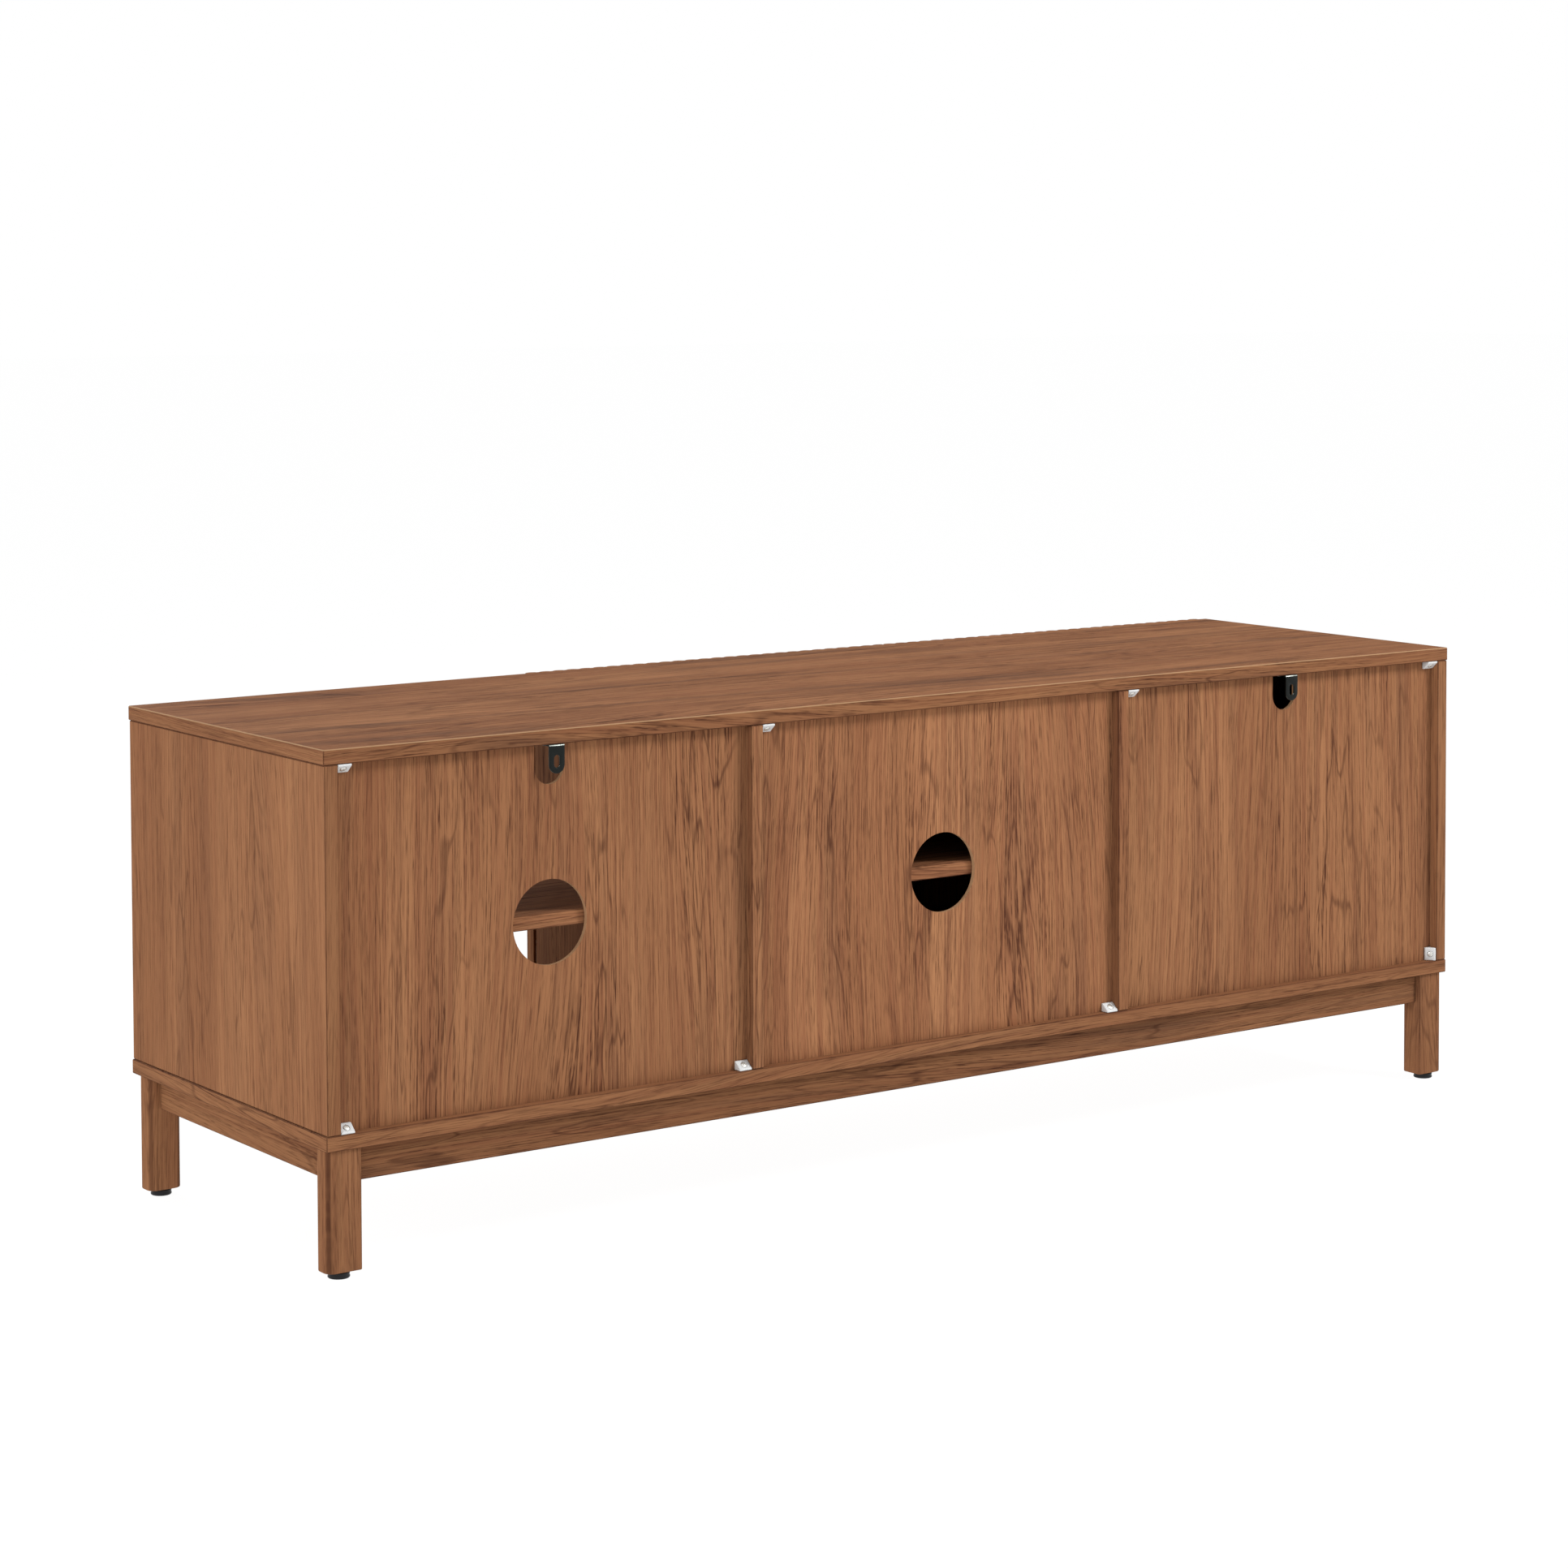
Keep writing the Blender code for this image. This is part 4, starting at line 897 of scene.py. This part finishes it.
def makeScrewSet(name, places, body, template, seed):
    # places is a list of (position, way the head faces)
    mesh = bpy.data.meshes.new(name)
    mesh.from_pydata([p for p, _ in places], [], [])
    facing = mesh.attributes.new("facing", "FLOAT_VECTOR", "POINT")
    facing.data.foreach_set("vector", [c for _, way in places for c in way])
    base = addObject(name, mesh)
    mod = base.modifiers.new("screws", "NODES")
    mod.node_group = screwTree(zinc)
    setInputs(mod, {"Screw": template, "Turn Seed": seed})
    screws = bakeModifiers(base)
    smooth(screws, 30)
    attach(screws, body)
    return screws


screwTemplate = makeScrewTemplate(screwSettings)


# back clips: moulded wedges, each with a screw sunk in its slanted face

clipSettings = {"rearDepth": 0.0019, "flat": 0.0022, "edgeRound": 0.0007, "counterbore": 0.0041,
                "counterboreDepth": 0.0008, "counterboreSides": 32, "drillStart": 0.004,
                "headSunk": 0.0004, "upperFrom": 0.34}


def clipFacts(node, settings):
    # the axis that the clip's section is drawn along, and the way it stands off its board
    low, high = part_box(node)
    if node.endswith("left_bottom"):
        return "Z", Vector((1, 0, 0))
    upper = (low[2] + high[2]) / 2 > settings["upperFrom"]
    return "X", Vector((0, 0, -1 if upper else 1))


def makeClip(node, settings, material):
    low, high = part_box(node)
    axis, out = clipFacts(node, settings)
    # the wedge's section, as (distance from the board, y): deep at the back panel, thin at the rear
    depth = (high[2] - low[2]) if axis == "X" else (high[0] - low[0])
    section = [(0, low[1]), (depth, low[1]), (depth, low[1] + settings["flat"]),
               (settings["rearDepth"], high[1]), (0, high[1])]
    bm = bmesh.new()
    rings = []
    for end in (low, high):
        ring = []
        for away, y in section:
            if axis == "X":
                base = low[2] if out.z > 0 else high[2]
                ring.append(bm.verts.new((end[0], y, base + out.z * away)))
            else:
                ring.append(bm.verts.new((low[0] + away, y, end[2])))
        rings.append(ring)
    skinInto(bm, rings)
    clip = bmToObject(node + "_moulded", bm, material)
    bevel(clip, settings["edgeRound"], 3, 25)
    slantNormal = slantOf(section, out)
    seat = seatOf(section, low, high, axis, out)
    turn = slantNormal.to_track_quat("Z", "Y").to_matrix().to_4x4()
    bore = [(settings["counterbore"], -settings["counterboreDepth"]),
            (settings["counterbore"], settings["drillStart"])]
    drill = bmesh.new()
    revolveInto(drill, bore, settings["counterboreSides"], Matrix.Translation(seat) @ turn)
    borer = bmToObject("clipBorer", drill)
    cut(clip, borer)
    done = bakeModifiers(clip, material)
    bpy.data.objects.remove(borer, do_unlink=True)
    smooth(done, 40)
    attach(done, "cabinet")
    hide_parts(node)
    return seat - slantNormal * (settings["counterboreDepth"] - settings["headSunk"]), slantNormal


def slantOf(section, out):
    # the way the slanted face looks
    (deepAway, deepY), (thinAway, thinY) = section[2], section[3]
    return (out * (thinY - deepY) + Vector((0, deepAway - thinAway, 0))).normalized()


def seatOf(section, low, high, axis, out):
    # the middle of the slanted face
    (deepAway, deepY), (thinAway, thinY) = section[2], section[3]
    away = (deepAway + thinAway) / 2
    y = (deepY + thinY) / 2
    if axis == "X":
        base = low[2] if out.z > 0 else high[2]
        return Vector(((low[0] + high[0]) / 2, y, base + out.z * away))
    return Vector((low[0] + away, y, (low[2] + high[2]) / 2))


def makeClips():
    places = []
    for node in sorted(nodes):
        if node.startswith("back_clip"):
            places.append(makeClip(node, clipSettings, clipGrey))
    makeScrewSet("back_clip_screws", places, "cabinet", screwTemplate, 11)


makeClips()
print("back clips made")


# wall brackets: bent black strap with a round end and a slot

bracketSettings = {"thickness": 0.002, "bend": 0.0026, "bendSteps": 8, "slotWidth": 0.0074,
                   "slotLength": 0.0136, "slotSteps": 12, "slotBelowMiddle": 0.0025,
                   "endSteps": 20, "edgeRound": 0.0003, "clear": 0.001, "toolReach": (0.002, -0.006),
                   "screwLift": 0.0014}


def strapOutline(low, high, settings):
    # the bent strap seen from the side, as (y, z)
    thick = settings["thickness"]
    bend = settings["bend"]
    centre = (high[1] - bend, high[2] - bend)
    outer = [(low[1], high[2])] + arc(centre, bend, 90, -90, settings["bendSteps"])
    inner = arc(centre, bend - thick, 0, 90, settings["bendSteps"])
    return outer + [(high[1], low[2]), (high[1] - thick, low[2])] + inner + [(low[1], high[2] - thick)]


def slotOutline(centreX, middleZ, settings):
    radius = settings["slotWidth"] / 2
    straight = settings["slotLength"] / 2 - radius
    return (arc((centreX, middleZ + straight), radius, 0, 180, settings["slotSteps"])
            + arc((centreX, middleZ - straight), radius, 180, 180, settings["slotSteps"]))


def endOutline(low, high, settings):
    # what is cut off around the strap's round end
    half = (high[0] - low[0]) / 2
    clear = settings["clear"]
    shoulder = low[2] + half
    return ([(low[0] - clear, shoulder), (low[0] - clear, low[2] - clear),
             (high[0] + clear, low[2] - clear), (high[0] + clear, shoulder)]
            + arc(((low[0] + high[0]) / 2, shoulder), half, 0, -180, settings["endSteps"]))


def makeBracket(side, settings, material):
    node = f"wall_bracket_{side}"
    low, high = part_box(node)
    outline = strapOutline(low, high, settings)
    bm = bmesh.new()
    skinInto(bm, [[bm.verts.new((x, y, z)) for y, z in outline] for x in (low[0], high[0])])
    strap = bmToObject(node + "_bent", bm, material)
    slotMiddle = (low[2] + high[2]) / 2 - settings["slotBelowMiddle"]
    slot = slotOutline((low[0] + high[0]) / 2, slotMiddle, settings)
    tools = []
    for shape in (slot, endOutline(low, high, settings)):
        tool = bmesh.new()
        skinInto(tool, [[tool.verts.new((x, high[1] + reach, z)) for x, z in shape]
                        for reach in settings["toolReach"]])
        tools.append(bmToObject("bracketTool", tool))
        cut(strap, tools[-1])
    bevel(strap, settings["edgeRound"], 2, 50)
    done = bakeModifiers(strap, material)
    for tool in tools:
        bpy.data.objects.remove(tool, do_unlink=True)
    smooth(done, 30)
    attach(done, "cabinet")
    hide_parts(node)


def makeBrackets():
    places = []
    for side in ("left", "right"):
        makeBracket(side, bracketSettings, blackSteel)
        low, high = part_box(f"bracket_screw_{side}")
        places.append((((low[0] + high[0]) / 2, (low[1] + high[1]) / 2,
                        low[2] + bracketSettings["screwLift"]), (0, 0, -1)))
    screws = makeScrewSet("bracket_screw_heads", places, "cabinet", screwTemplate, 5)
    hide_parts("bracket_screw_left", "bracket_screw_right")


makeBrackets()
print("wall brackets made")


# hinge and latch screws, on the doors and inside the bays

hingeScrewSettings = {"plateOffset": 0.010, "plateLift": 0.0003, "cupOffset": 0.0215,
                      "cupAlong": 0.0300, "latchBehind": 0.010}


def plateScrews(side, level, way, settings):
    low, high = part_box(f"hinge_plate_{side}_{level}")
    x = (high[0] if side == "left" else low[0]) + way * settings["plateLift"]
    y, z = (low[1] + high[1]) / 2, (low[2] + high[2]) / 2
    return [((x, y, z + up * settings["plateOffset"]), (way, 0, 0)) for up in (-1, 1)]


def cupScrews(side, level, way, settings):
    doorLow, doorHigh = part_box(f"door_{side}")
    edge = doorLow[0] if side == "left" else doorHigh[0]
    cupLow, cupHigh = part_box(f"hinge_cup_{side}_{level}")
    return [((edge + way * settings["cupAlong"], cupHigh[1], (cupLow[2] + cupHigh[2]) / 2
              + up * settings["cupOffset"]), (0, 1, 0)) for up in (-1, 1)]


def latchScrew(side, way, settings):
    low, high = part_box(f"latch_body_{side}")
    faceX = low[0] if side == "left" else high[0]
    return (faceX, high[1] - settings["latchBehind"], (low[2] + high[2]) / 2), (-way, 0, 0)


def makeHingeScrews(settings):
    fixed = []
    for side, way in (("left", 1), ("right", -1)):
        swinging = []
        for level in ("lower", "upper"):
            fixed += plateScrews(side, level, way, settings)
            swinging += cupScrews(side, level, way, settings)
        makeScrewSet(f"hinge_cup_screws_{side}", swinging, f"door_{side}", screwTemplate, 3)
        fixed.append(latchScrew(side, way, settings))
    makeScrewSet("plate_and_latch_screws", fixed, "cabinet", screwTemplate, 8)


makeHingeScrews(hingeScrewSettings)
bpy.data.objects.remove(screwTemplate, do_unlink=True)
print("hinge and latch screws made")
